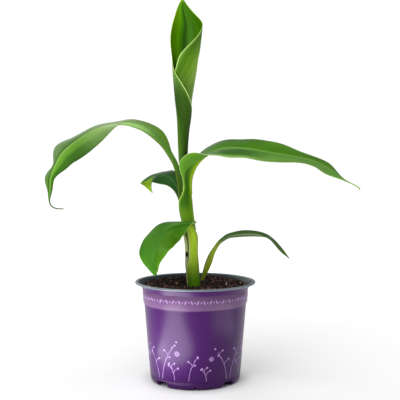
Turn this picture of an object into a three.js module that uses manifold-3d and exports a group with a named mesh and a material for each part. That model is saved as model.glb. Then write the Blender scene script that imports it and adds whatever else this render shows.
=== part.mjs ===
import * as THREE from 'three';
import { LoftGeometry } from 'three/addons/geometries/LoftGeometry.js';
import { mergeVertices } from 'three/addons/utils/BufferGeometryUtils.js';
import Module from 'manifold-3d';

// A young banana plant in a 12 cm nursery pot, in millimetres with +Z up. The origin is on the
// pot's axis, at the level that it stands on. The plant's front faces -Y.

const wasm = await Module();
wasm.setup();

const GAP = 0.3;                  // clearance between pieces that touch on the real plant
const DEGREE = Math.PI / 180;
const FRONT = -90;                // azimuth of the plant's front, in degrees from +X

// Pot: radii and heights of its outside, from the foot up
const POT_SIDES = 48;
const WALL = 1.4;
const FOOT_RADIUS = 41.8;
const FOOT_HEIGHT = 6.6;
const HEEL = [[44, 1.8], [44.6, 4]];                  // radius and height of its rounding
const HEEL_RADIUS = 44.8;
const HEEL_HEIGHT = 7.5;
const BAND_FOOT_RADIUS = 50.6;
const BAND_FOOT_HEIGHT = 74;
const BAND_RADIUS = 51.9;
const BAND_HEIGHT = 77.8;
const NECK_RADIUS = 52.6;
const NECK_HEIGHT = 90.6;
const LIP_INNER_RADIUS = 56.4;
const LIP_RADIUS = 60;
const LIP_UNDERSIDE = 93.6;
const POT_HEIGHT = 97.5;
const LIP_ROUND = 0.8;
const INNER_STEP = 1.3;           // how far each bend of the inner face lies below the outer one
const PAD_RADIUS = 15;            // flat pad under the middle of the pot
const PAD_TAPER = 1.5;
const FOOT_RING_WIDTH = 1.8;
const FOOT_RING_ROOT = 3.4;
// Cuts through the foot ring: angles from the front on both sides, then width at the foot, width
// at the top and height
const NOTCHES = { angles: [0, 90, 180], width: 7, topWidth: 1.6, height: 3.2 };
const DIPS = { angles: [21, 159], width: 5.6, topWidth: 3.6, height: 1.6 };
const DRAINS = { angles: [45.5, 134.5], width: 14, topWidth: 13, height: 5.4 };
const CUT_REACH = 14;             // length of a cutter through the foot ring
const CUT_START = 34;
const CUT_BELOW = 0.2;

// Soil: a flat seat round the stem, then a low bank that is higher at the back, listed as
// radius and height from the pot's wall inwards
const SOIL_SEAT_RADIUS = 10;
const SOIL_SEAT_HEIGHT = 92;
const SOIL_TOP = [[51.9, 92.6], [46, 94], [32, 94.4], [18, 93.2], [SOIL_SEAT_RADIUS, SOIL_SEAT_HEIGHT]];
const SOIL_TILT = 0.02;

// Stem: centre and outer radius from the flat cut at the soil up to the fork
const STEM_SIDES = 16;
const SHEATH_WALL = 1.6;
const SHEATH_TOP = 152;
const SHEATH_SPAN = { from: -75, to: 135, narrowing: 25 };        // in degrees from the front
const DRY_SHEATH_TOP = 145;
const DRY_SHEATH_SPAN = { from: -150, to: -80, narrowing: 10 };
const SHEATH_SIDES = 14;
const OUTER_STEM = [
	{ z: SOIL_SEAT_HEIGHT, x: -0.9, y: -1, radius: 6.4 },
	{ z: 101, x: -2.1, y: -1, radius: 6.8 },
	{ z: 114, x: -3.1, y: -1, radius: 6.8 },
	{ z: 127, x: -3.6, y: -1, radius: 6.2 },
	{ z: 140, x: -4.0, y: -1, radius: 6.9 },
	{ z: 150, x: -6.2, y: -1, radius: 6.9 },
	{ z: 158, x: -7.4, y: -1, radius: 6.6 },
	{ z: 171, x: -9.4, y: -1, radius: 7.4 },
	{ z: 181, x: -9.9, y: -1, radius: 6.6 },
	{ z: 183, x: -9.9, y: -1, radius: 4.2 },
	{ z: 190, x: -10, y: -1, radius: 3.8 },
	{ z: 197, x: -10.8, y: -1, radius: 3.7 },
];

// Rolled leaf: centre and radius of the roll, then the angles of its two margins, in degrees
// from the front, where the roll opens into a funnel
const ROLL_FOOT = 197.3;
const FUNNEL_FOOT = 308;
const SPEAR_WALL = 2;
const SPEAR_TIP_WALL = 0.9;       // share of the radius that the wall may take near the tip
const SPEAR_SIDES = 16;
const ROLL = [
	{ z: ROLL_FOOT, x: -10.8, y: -1, radius: 3.7 },
	{ z: 210, x: -12.2, y: -0.5, radius: 4.7 },
	{ z: 227, x: -12.6, y: 0, radius: 5.6 },
	{ z: 248, x: -12.2, y: 0, radius: 6.7 },
	{ z: 262, x: -11.4, y: 0, radius: 8.2 },
	{ z: 278, x: -11.7, y: 0, radius: 9.6 },
	{ z: 295, x: -11, y: 0, radius: 11.5 },
	{ z: 309, x: -10.4, y: 0, radius: 12.3 },
	{ z: 315, x: -10.2, y: 0, radius: 11.9 },
];
const FUNNEL = [
	{ z: FUNNEL_FOOT, x: -10.4, y: 0, radius: 12.7, left: -62, right: -50 },
	{ z: 319, x: -10.1, y: 0, radius: 13.3, left: -80, right: -30 },
	{ z: 327, x: -9.7, y: 0, radius: 14.6, left: -92, right: -2 },
	{ z: 338, x: -9.6, y: 0, radius: 15.8, left: -98, right: 40 },
	{ z: 348, x: -8.8, y: 0.5, radius: 16, left: -100, right: 72 },
	{ z: 356, x: -8, y: 1, radius: 15.4, left: -104, right: 95 },
	{ z: 363, x: -9.3, y: 3, radius: 12.6, left: -110, right: 112 },
	{ z: 371, x: -11.6, y: 5.5, radius: 8.6, left: -120, right: 125 },
	{ z: 378, x: -12.6, y: 8.4, radius: 4.8, left: -130, right: 140 },
	{ z: 383, x: -12.6, y: 10.8, radius: 2.2, left: -150, right: 165 },
];

const HALF_STEPS = 3;             // strips across each half of a leaf
const STATION_STEPS = 2;          // sections between two stations
const LEAST_LEAF = 1.2;           // thickness of a short leaf, and ribs per thickness of a long one
const LEAF_SLENDERNESS = 95;
const TIP_HALF = 0.5;             // half the thickness where a leaf has run out to its tip
const TIP_GROWTH = 4;
const SLIT = 0.15;                // half of the least space inside a narrow fold

// Leaves: stations from the stalk to the tip. Each has the rib's place, then the width and the
// fold of the left half, the same of the right half, as seen along the leaf with its upper face
// up, and the curl of both. A fold is a half's mean angle above level, and the curl is how much
// steeper it is at its margin than at the rib, in degrees. heading is the leaf's azimuth, and
// split is the station where the leaf bends over and its outer part begins.
const LEFT_LEAF = {
	heading: 187,
	split: 7,
	keel: 1.9,
	stations: [
		[-15, -1, 182, 3.4, 58, 3.4, 58, 0],
		[-16.2, -1, 192.5, 4, 58, 4, 58, 0],
		[-19.4, -2, 210.5, 4.4, 56, 4.6, 58, 0],
		[-25.6, -3, 222, 5.6, 40, 6, 38, 0],
		[-31.9, -4, 231.4, 9, 29, 12, 46, 0],
		[-40.1, -5.3, 239.3, 11.7, 26, 17, 45, 0],
		[-50.6, -7, 246.8, 14.5, 21, 17, 26, 0],
		[-74.8, -11, 253.8, 19, -2, 19, 8, 0],
		[-96.2, -15, 249.5, 20.5, -42, 20, 12, 0],
		[-115, -20, 238.6, 21, -62, 21, 13, 0],
		[-129.2, -25, 225.8, 18.6, -66, 20.5, 27, 0],
		[-136, -28, 213.2, 14.5, -60, 14, 14, 0],
		[-139.3, -30, 200.6, 7.4, -44, 7.4, 33, 0],
		[-139.7, -31.5, 188.7, 4.4, -45, 3.4, 30, 0],
		[-140, -32, 179.1, 0.7, -40, 0.7, 20, 0],
		[-138.2, -32, 173.4, 0.6, 0, 0.6, 0, 0],
		[-133.4, -32, 170.5, 0.6, 0, 0.6, 0, 0],
		[-125.7, -32, 170.1, 0.6, 0, 0.6, 0, 0],
	],
};
const RIGHT_LEAF = {
	heading: -8,
	split: 5,
	keel: 1.9,
	stations: [
		[-4.9, -1, 182, 7, 48, 8, 50, 90],
		[-5, -1, 190, 7, 48, 8.5, 50, 90],
		[-4.4, -1.5, 199, 9, 54, 10, 58, 80],
		[-1.6, -2, 207.8, 12, 56, 18.6, 62, 76],
		[3.3, -3, 215.7, 12.4, 34, 17.4, 51, 46],
		[12, -4, 223.4, 17, 14, 19, -3, 0],
		[24.6, -6, 228.6, 20, 24, 20.5, -20, 0],
		[39.4, -9, 229.8, 22, 24, 22, -27, 0],
		[54.2, -11, 228.2, 23, 30, 22.5, -25, 0],
		[69, -13, 225.6, 23, 33, 22.5, -25, 0],
		[88.5, -16, 222.6, 21, 27, 20.5, -21, 0],
		[108, -18, 219, 16, 20, 16.5, -19, 0],
		[120.3, -20, 215.1, 12.5, 22, 13, -24, 0],
		[131.6, -22, 208, 8.5, 30, 9, -44, 0],
		[144, -23, 198.7, 0.9, 20, 0.9, -30, 0],
		[157, -25, 192.6, 0.6, 0, 0.6, 0, 0],
		[159.6, -25, 189, 0.6, 0, 0.6, 0, 0],
	],
};
const BACK_LEAF = {
	heading: 143,
	keel: 1.4,
	stations: [
		[-15.9, 3, 180, 2.6, 20, 2.6, 20, 0],
		[-19.3, 8, 191.9, 6, -30, 6, 30, 0],
		[-25.3, 13, 200.4, 11, -50, 12, 27, 0],
		[-34.8, 19, 204, 14, -36, 15, 14, 0],
		[-42.9, 25, 204, 14.5, -14, 14, 10, 0],
		[-49.6, 29, 201.2, 19.5, -80, 9, 2, 0],
		[-53.6, 32, 198.2, 4, -50, 4, 0, 0],
		[-57.8, 34, 194.6, 0.7, 0, 0.7, 0, 0],
	],
};
const LOWER_LEAF = {
	heading: 232,
	keel: 1.6,
	stations: [
		[-2, -8.8, 155.4, 3, 40, 3, 40, 0],
		[-12, -13, 154.9, 7.4, -42, 6, 18, 0],
		[-21.8, -17.5, 153.2, 15.8, -42, 12, 12, 0],
		[-28.4, -21, 148.6, 18.5, -22, 15, 5, 0],
		[-33, -24, 141, 20, 6, 19.5, 2, 0],
		[-36, -26, 133.2, 19.5, 24, 20, 8, 0],
		[-37.6, -28, 125.2, 16.5, 38, 18.5, 14, 0],
		[-38.2, -29, 116.6, 8, 54, 13, 15, 0],
		[-38.8, -30, 106.4, 0.7, 0, 0.7, 0, 0],
	],
};
const SUCKER_LEAF = {
	heading: 8,
	split: 6,
	keel: 1.3,
	stations: [
		[7.2, 22, 94.9, 2, 50, 2, 50, 0],
		[12.3, 22, 104.6, 4.6, 60, 4.6, 60, 0],
		[16.3, 22.5, 113.4, 5.8, 62, 5.8, 62, 0],
		[18.5, 22.5, 121, 4.2, 60, 4.2, 60, 0],
		[21.8, 23, 127.8, 3.2, 50, 3.2, 50, 0],
		[25.6, 23.5, 133, 4, 40, 4, 40, 0],
		[30, 24, 136, 5.4, 30, 5.4, 30, 0],
		[35.7, 24.5, 138.8, 8, 26, 8, 22, 0],
		[50.8, 26, 140.4, 11, 22, 11, 17, 0],
		[65.6, 27.5, 140.4, 11, 20, 11, 16, 0],
		[78.1, 29, 137.6, 8.5, 14, 8.5, 10, 0],
		[87.1, 30, 129.8, 5.2, 10, 5.2, 6, 0],
		[94, 31, 122, 2.6, 6, 2.6, 2, 0],
		[98, 31, 116.4, 0.7, 0, 0.7, 0, 0],
	],
};

const FINISHES = {
	pot: { color: 0x5b2a74, roughness: 0.45 },
	soil: { color: 0x2b1c14, roughness: 1 },
	stem: { color: 0x6f9a2b, roughness: 0.5 },
	sheath: { color: 0x86a92e, roughness: 0.5 },
	drySheath: { color: 0x57573a, roughness: 0.9 },
	spear: { color: 0x4c8a2c, roughness: 0.45 },
	leaf: { color: 0x4f9430, roughness: 0.45 },
	backLeaf: { color: 0x2f6a3c, roughness: 0.5 },
};

// A closed solid for cutting, from a geometry whose shared vertices are merged
function solidOf(geometry) {
	const plain = new THREE.BufferGeometry();
	plain.setAttribute('position', geometry.getAttribute('position'));
	plain.setIndex(geometry.index);
	const merged = mergeVertices(plain, 1e-4);
	const vertProperties = new Float32Array(merged.attributes.position.array);
	const triVerts = new Uint32Array(merged.index.array);
	return new wasm.Manifold(new wasm.Mesh({ numProp: 3, vertProperties, triVerts }));
}

function geometryOf(solid) {
	const mesh = solid.getMesh();
	const geometry = new THREE.BufferGeometry();
	geometry.setAttribute('position', new THREE.BufferAttribute(mesh.vertProperties, 3));
	geometry.setIndex(new THREE.BufferAttribute(mesh.triVerts, 1));
	geometry.computeVertexNormals();
	return geometry;
}

function loft(sections) {
	return solidOf(new LoftGeometry(sections, { capStart: true, capEnd: true }));
}

// A smooth value between rows of numbers, at a place that counts rows from 0
function smoothRow(rows, place) {
	const last = rows.length - 1;
	const first = Math.min(Math.floor(place), last - 1);
	const t = place - first;
	const value = (index, column) => {
		if (index < 0) return 2 * rows[0][column] - rows[1][column];
		if (index > last) return 2 * rows[last][column] - rows[last - 1][column];
		return rows[index][column];
	};
	return rows[0].map((_, column) => {
		const [a, b, c, d] = [-1, 0, 1, 2].map((step) => value(first + step, column));
		const slope = (c - a) / 2;
		const bend = a - 2.5 * b + 2 * c - 0.5 * d;
		const twist = (3 * (b - c) + d - a) / 2;
		return b + t * (slope + t * (bend + t * twist));
	});
}

// Evenly spaced places along rows, with some steps between each two
function places(from, to, steps) {
	const count = Math.max(1, Math.round((to - from) * steps));
	return Array.from({ length: count + 1 }, (_, i) => from + ((to - from) * i) / count);
}

// Level rings round an upright limb, each at its own centre and radius. grow widens the limb and
// lengthens it at both ends.
function limbSections(rings, grow = 0) {
	return rings.map((ring, place) => {
		const stretch = place === 0 ? -grow : grow;
		const end = place === 0 || place === rings.length - 1;
		const height = ring.z + (end ? stretch : 0);
		const reach = ring.radius + grow;
		return Array.from({ length: STEM_SIDES }, (_, i) => {
			const angle = (i / STEM_SIDES) * 2 * Math.PI;
			const across = reach * Math.cos(angle);
			return new THREE.Vector3(ring.x + across, ring.y + reach * Math.sin(angle), height);
		});
	});
}

// A level ring section of a shell, from one angle round to another, in degrees from the front
function shellSection({ x, y, z, radius, from, to }, wall, sides) {
	const at = (reach, share) => {
		const angle = (FRONT + from + (to - from) * share) * DEGREE;
		return new THREE.Vector3(x + reach * Math.cos(angle), y + reach * Math.sin(angle), z);
	};
	const outer = Array.from({ length: sides + 1 }, (_, i) => at(radius, i / sides));
	const inner = Array.from({ length: sides + 1 }, (_, i) => at(radius - wall, 1 - i / sides));
	return [...outer, ...inner];
}

// The rib's place and the leaf's own axes at a station: along, to its left, and up from its face
function leafFrame(leaf, place) {
	const step = 0.02;
	const row = smoothRow(leaf.stations, place);
	const ahead = smoothRow(leaf.stations, place + step);
	const behind = smoothRow(leaf.stations, place - step);
	const along = new THREE.Vector3(...ahead.slice(0, 3));
	along.sub(new THREE.Vector3(...behind.slice(0, 3))).normalize();
	const heading = leaf.heading * DEGREE;
	const left = new THREE.Vector3(-Math.sin(heading), Math.cos(heading), 0);
	left.addScaledVector(along, -left.dot(along)).normalize();
	const up = new THREE.Vector3().crossVectors(along, left);
	return { origin: new THREE.Vector3(...row.slice(0, 3)), along, left, up, row };
}

// A closed section across the leaf: lower face from the right margin to the left, then back
function leafSection(leaf, place, thickness, grow = 0) {
	const { origin, left, up, row } = leafFrame(leaf, place);
	const half = Math.min(thickness / 2, TIP_HALF + Math.max(row[3], row[5]) / TIP_GROWTH) + grow;
	const halves = [
		{ side: 1, width: row[3], fold: row[4] * DEGREE },
		{ side: -1, width: row[5], fold: row[6] * DEGREE },
	];
	const curl = row[7] * DEGREE;
	const [leftHalf, rightHalf] = halves.map(({ side, width, fold }) => {
		const stride = (width + grow) / HALF_STEPS;
		let across = 0;
		let rise = 0;
		return Array.from({ length: HALF_STEPS }, (_, i) => {
			const angle = fold + curl * ((i + 0.5) / HALF_STEPS - 0.5);
			across += stride * Math.cos(angle);
			rise += stride * Math.sin(angle);
			const lean = half * Math.sin(angle);
			const thick = half * Math.cos(angle);
			return {
				lower: [side * (across + lean), rise - thick],
				upper: [side * Math.max(across - lean, SLIT), rise + thick],
			};
		});
	});
	const keel = Math.max(Math.min(leaf.keel, Math.min(row[3], row[5]) / 2) + grow, half);
	const outline = [
		...rightHalf.toReversed().map((point) => point.lower),
		[0, -keel],
		...leftHalf.map((point) => point.lower),
		...leftHalf.toReversed().map((point) => point.upper),
		[0, half],
		...rightHalf.map((point) => point.upper),
	];
	return outline.map(([across, rise]) =>
		origin.clone().addScaledVector(left, across).addScaledVector(up, rise));
}

function ribLength(leaf) {
	const points = places(0, leaf.stations.length - 1, STATION_STEPS).map((place) =>
		leafFrame(leaf, place).origin);
	return points.slice(1).reduce((sum, point, i) => sum + point.distanceTo(points[i]), 0);
}

function leafBlade(leaf, from, to, grow = 0) {
	const thickness = Math.max(LEAST_LEAF, ribLength(leaf) / LEAF_SLENDERNESS);
	const stops = places(from, to, STATION_STEPS);
	return loft(stops.map((place) => leafSection(leaf, place, thickness, grow)));
}

// The station a gap beyond a given one, measured along the rib
function pastGap(leaf, place) {
	const step = 0.05;
	const here = leafFrame(leaf, place).origin;
	const there = leafFrame(leaf, place + step).origin;
	return place + (step * GAP) / here.distanceTo(there);
}

function innerLeaf(leaf) {
	return leafBlade(leaf, 0, leaf.split);
}

function outerLeaf(leaf) {
	return leafBlade(leaf, pastGap(leaf, leaf.split), leaf.stations.length - 1);
}

function wholeLeaf(leaf) {
	return leafBlade(leaf, 0, leaf.stations.length - 1);
}

const plant = new THREE.Group();

// The largest part of a solid that is left when its neighbours' room is cut from it
function clearOf(solid, ...rooms) {
	const rest = rooms.reduce((left, room) => left.subtract(room), solid).decompose();
	return rest.reduce((largest, part) => (part.volume() > largest.volume() ? part : largest));
}

function addPiece(name, solid, finish) {
	const material = new THREE.MeshStandardMaterial({ ...FINISHES[finish], metalness: 0 });
	const mesh = new THREE.Mesh(geometryOf(solid), material);
	mesh.name = name;
	plant.add(mesh);
}

// Pot: a turned shell whose foot ring has V notches, shallow dips and four wide drain gaps
function potBody() {
	const inside = (radius) => radius - WALL;
	const profile = [
		[0, 0],
		[PAD_RADIUS, 0],
		[PAD_RADIUS + PAD_TAPER, FOOT_HEIGHT],
		[FOOT_RADIUS - FOOT_RING_ROOT, FOOT_HEIGHT],
		[FOOT_RADIUS - FOOT_RING_WIDTH, 0],
		[FOOT_RADIUS, 0],
		...HEEL,
		[HEEL_RADIUS, HEEL_HEIGHT],
		[BAND_FOOT_RADIUS, BAND_FOOT_HEIGHT],
		[BAND_RADIUS, BAND_HEIGHT],
		[NECK_RADIUS, NECK_HEIGHT],
		[LIP_INNER_RADIUS + LIP_ROUND, LIP_UNDERSIDE],
		[LIP_RADIUS - LIP_ROUND, LIP_UNDERSIDE],
		[LIP_RADIUS, LIP_UNDERSIDE + LIP_ROUND],
		[LIP_RADIUS, POT_HEIGHT - LIP_ROUND],
		[LIP_RADIUS - LIP_ROUND, POT_HEIGHT],
		[LIP_INNER_RADIUS + LIP_ROUND, POT_HEIGHT],
		[LIP_INNER_RADIUS, POT_HEIGHT - LIP_ROUND],
		[inside(NECK_RADIUS), NECK_HEIGHT - INNER_STEP],
		[inside(BAND_RADIUS), BAND_HEIGHT - INNER_STEP],
		[inside(BAND_FOOT_RADIUS), BAND_FOOT_HEIGHT - INNER_STEP],
		[inside(HEEL_RADIUS), FOOT_HEIGHT + WALL],
		[0, FOOT_HEIGHT + WALL],
	];
	const points = profile.map(([radius, height]) => new THREE.Vector2(radius, height));
	const turned = new THREE.LatheGeometry(points, POT_SIDES);
	turned.rotateX(Math.PI / 2);
	const cuts = [NOTCHES, DIPS, DRAINS].flatMap((kind) =>
		bothSides(kind.angles).map((angle) => footCutter(kind).rotate([0, 0, FRONT + angle])));
	return cuts.reduce((body, cut) => body.subtract(cut), solidOf(turned));
}

// Angles and their mirror images across the front, each once
function bothSides(angles) {
	const mirrored = angles.filter((angle) => angle % 180 !== 0).map((angle) => -angle);
	return [...angles, ...mirrored];
}

// A cutter that lies along +X, from inside the foot ring to outside the pot
function footCutter({ width, topWidth, height }) {
	const shape = new THREE.Shape([
		new THREE.Vector2(-width / 2, -CUT_BELOW),
		new THREE.Vector2(width / 2, -CUT_BELOW),
		new THREE.Vector2(topWidth / 2, height),
		new THREE.Vector2(-topWidth / 2, height),
	]);
	const cutter = new THREE.ExtrudeGeometry(shape, { depth: CUT_REACH, bevelEnabled: false });
	cutter.rotateX(Math.PI / 2);
	cutter.rotateZ(Math.PI / 2);
	cutter.translate(CUT_START, 0, 0);
	return solidOf(cutter);
}

// Soil: fills the pot to just under its lip, with a flat seat for the stem
function soilBody() {
	const inside = (radius) => radius - WALL - GAP;
	const floor = FOOT_HEIGHT + WALL + GAP;
	const profile = [
		[0, floor],
		[inside(HEEL_RADIUS), floor],
		[inside(BAND_FOOT_RADIUS), BAND_FOOT_HEIGHT - INNER_STEP],
		[inside(BAND_RADIUS), BAND_HEIGHT - INNER_STEP],
		[inside(NECK_RADIUS), NECK_HEIGHT - INNER_STEP],
		...SOIL_TOP,
		[0, SOIL_SEAT_HEIGHT],
	];
	const points = profile.map(([radius, height]) => new THREE.Vector2(radius, height));
	const turned = new THREE.LatheGeometry(points, POT_SIDES / 2);
	turned.rotateX(Math.PI / 2);
	const place = turned.attributes.position;
	for (let i = 0; i < place.count; i += 1) {
		const reach = Math.hypot(place.getX(i), place.getY(i));
		const bank = place.getZ(i) > SOIL_SEAT_HEIGHT + 0.1 && reach > SOIL_SEAT_RADIUS;
		if (bank) place.setZ(i, place.getZ(i) + SOIL_TILT * place.getY(i));
	}
	return solidOf(turned);
}

// Stem: a solid core, thinner where the outer sheaths wrap it
function stemRings() {
	return OUTER_STEM.map((ring, i) => {
		const wrapped = ring.z < SHEATH_TOP;
		const foot = i === 0 ? GAP : 0;
		const radius = ring.radius - (wrapped ? SHEATH_WALL + GAP : 0);
		return { ...ring, z: ring.z + foot, radius };
	});
}

// A shell round the lower stem, up to a height, whose two edges close in towards its top
function sheathBody({ from, to, narrowing }, top) {
	const rings = OUTER_STEM.filter((ring) => ring.z <= top);
	const rows = rings.map((ring, i) => [
		ring.x, ring.y, ring.z + (i === 0 ? GAP : 0), ring.radius,
	]);
	const sections = rows.map(([x, y, z, radius], place) => {
		const inset = narrowing * (place / (rows.length - 1)) ** 3;
		const ring = { x, y, z, radius, from: from + inset, to: to - inset };
		return shellSection(ring, SHEATH_WALL, SHEATH_SIDES);
	});
	return loft(sections);
}

// Rolled leaf: a solid roll that opens into a thin funnel with its rib at the back
function spearBody(grow = 0) {
	const roll = loft(limbSections(ROLL, grow));
	const rows = FUNNEL.map((ring) => [ring.x, ring.y, ring.z, ring.radius, ring.left, ring.right]);
	const sections = places(0, rows.length - 1, 1.5).map((place) => {
		const [x, y, z, radius, left, right] = smoothRow(rows, place);
		const wall = Math.min(SPEAR_WALL, radius * SPEAR_TIP_WALL);
		return shellSection({ x, y, z, radius, from: right - 360, to: left }, wall, SPEAR_SIDES);
	});
	return roll.add(loft(sections));
}

const stem = loft(limbSections(stemRings()));
const stemRoom = loft(limbSections(OUTER_STEM, GAP));
const spear = spearBody();
const spearRoom = spearBody(GAP);
const leftRoom = leafBlade(LEFT_LEAF, 0, LEFT_LEAF.split, GAP);

addPiece('pot', potBody(), 'pot');
addPiece('soil', soilBody(), 'soil');
addPiece('pseudostem', stem, 'stem');
addPiece('outer_sheath', sheathBody(SHEATH_SPAN, SHEATH_TOP), 'sheath');
addPiece('dry_sheath', sheathBody(DRY_SHEATH_SPAN, DRY_SHEATH_TOP), 'drySheath');
addPiece('spear_leaf', spear, 'spear');
addPiece('left_leaf_inner', clearOf(innerLeaf(LEFT_LEAF), stemRoom, spearRoom), 'leaf');
addPiece('left_leaf_outer', outerLeaf(LEFT_LEAF), 'leaf');
addPiece('right_leaf_inner', clearOf(innerLeaf(RIGHT_LEAF), stemRoom, spearRoom, leftRoom), 'leaf');
addPiece('right_leaf_outer', outerLeaf(RIGHT_LEAF), 'leaf');
addPiece('back_leaf', clearOf(wholeLeaf(BACK_LEAF), stemRoom, spearRoom, leftRoom), 'backLeaf');
addPiece('lower_leaf', clearOf(wholeLeaf(LOWER_LEAF), stemRoom), 'leaf');
addPiece('sucker_leaf_inner', innerLeaf(SUCKER_LEAF), 'leaf');
addPiece('sucker_leaf_outer', outerLeaf(SUCKER_LEAF), 'leaf');

export default plant;
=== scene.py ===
"""The looks of a young banana plant in a round nursery pot.

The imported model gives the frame. Each sub-assembly below is modelled over its own part of that
frame, in the same place and at the same size, and takes its finish here. Sizes are in millimetres
and degrees, and become metres where a point is placed. The plant's front faces -Y.
"""

import logging
import math
from contextlib import contextmanager
from dataclasses import dataclass, field
from enum import Enum
from typing import Any, Callable, Iterator, NamedTuple, Sequence

import bmesh
import bpy
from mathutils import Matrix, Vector


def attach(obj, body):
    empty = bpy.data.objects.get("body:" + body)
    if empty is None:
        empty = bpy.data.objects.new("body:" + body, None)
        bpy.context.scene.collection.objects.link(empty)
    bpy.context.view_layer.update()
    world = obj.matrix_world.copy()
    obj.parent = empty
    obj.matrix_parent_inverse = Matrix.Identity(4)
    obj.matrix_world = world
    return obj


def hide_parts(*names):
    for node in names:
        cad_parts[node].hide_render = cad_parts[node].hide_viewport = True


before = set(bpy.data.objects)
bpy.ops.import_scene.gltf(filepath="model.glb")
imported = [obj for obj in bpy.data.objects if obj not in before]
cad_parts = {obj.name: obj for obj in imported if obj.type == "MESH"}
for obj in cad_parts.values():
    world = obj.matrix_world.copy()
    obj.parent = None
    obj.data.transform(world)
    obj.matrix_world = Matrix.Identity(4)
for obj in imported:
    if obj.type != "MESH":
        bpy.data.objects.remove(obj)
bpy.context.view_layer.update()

MM = 0.001  # metres in a millimetre
BODY = "root"  # the one body that every piece rides on
FRONT = -90.0  # azimuth of the plant's front, from +X
UV_NAME = "UVMap"  # the map that a grid primitive comes with
WALL_GROUP = "wall"  # the vertex group that holds a sheet's thickness
NEAR = 0.05  # how close, in millimetres, counts as the same place
SLANT = Vector((0.83, 0.31, 0.17))  # a line along which no two faces of the soil's top tie

log = logging.getLogger("banana_plant")

Pair = tuple[float, float]  # such as the radius and height of a turned profile's corner
Triple = tuple[float, float, float]
Stops = Sequence[tuple[float, str]]  # places and shades of a ramp


class Primitive(Enum):
    """The primitives that pieces start from."""

    CIRCLE = "primitive_circle_add"
    CUBE = "primitive_cube_add"
    GRID = "primitive_grid_add"
    BALL = "primitive_ico_sphere_add"


class Fill(Enum):
    """How a circle primitive is filled."""

    NONE = "NOTHING"
    FACE = "NGON"


def linear(shade: str) -> tuple[float, float, float, float]:
    """A colour for a shader by the sRGB curve, from its screen shade such as #4f7f01."""
    parts = [int(shade[i:i + 2], 16) / 255 for i in (1, 3, 5)]
    return (*(p / 12.92 if p <= 0.04045 else ((p + 0.055) / 1.055) ** 2.4 for p in parts), 1.0)


def clamp(value: float, low: float = 0.0, high: float = 1.0) -> float:
    """The value, kept between two limits."""
    return max(low, min(high, value))


def smooth_row(rows: Sequence[Sequence[float]], place: float) -> list[float]:
    """A smooth row between rows of numbers.

    Args:
        rows: the rows, each of the same length.
        place: where to read, counting rows from 0.

    Returns:
        The Catmull-Rom value of each column.
    """
    last = len(rows) - 1
    first = min(math.floor(place), last - 1)
    t = place - first

    def value(index: int, column: int) -> float:
        """A row's number, carried on in a straight line past the ends."""
        if index < 0:
            return 2 * rows[0][column] - rows[1][column]
        if index > last:
            return 2 * rows[last][column] - rows[last - 1][column]
        return rows[index][column]

    result = []
    for column in range(len(rows[0])):
        a, b, c, d = (value(first + step, column) for step in (-1, 0, 1, 2))
        slope = (c - a) / 2
        bend = a - 2.5 * b + 2 * c - 0.5 * d
        twist = (3 * (b - c) + d - a) / 2
        result.append(b + t * (slope + t * (bend + t * twist)))
    return result


def row_at_height(rows: Sequence[Sequence[float]], height: float) -> list[float]:
    """The row at a height, worked out in straight lines between rows that start with theirs."""
    low, high = rows[0], rows[-1]
    for below, above in zip(rows, rows[1:]):
        if below[0] <= height <= above[0]:
            low, high = below, above
    share = clamp((height - low[0]) / (high[0] - low[0]))
    return [a + (b - a) * share for a, b in zip(low, high)]


def polar(radius: float, azimuth: float, height: float) -> Vector:
    """A place by its distance from the axis, its azimuth in degrees and its height."""
    turn = math.radians(azimuth)
    return Vector((radius * math.cos(turn), radius * math.sin(turn), height))


class Ring(NamedTuple):
    """A level round section: its height, the place of its centre and its radius."""

    z: float
    x: float
    y: float
    radius: float

    @property
    def centre(self) -> Vector:
        """The centre, in metres."""
        return Vector((self.x * MM, self.y * MM, self.z * MM))


def deselect_all() -> None:
    """Leaves edit mode and deselects every object."""
    if bpy.context.mode != "OBJECT":
        bpy.ops.object.mode_set(mode="OBJECT")
    bpy.ops.object.select_all(action="DESELECT")


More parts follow.
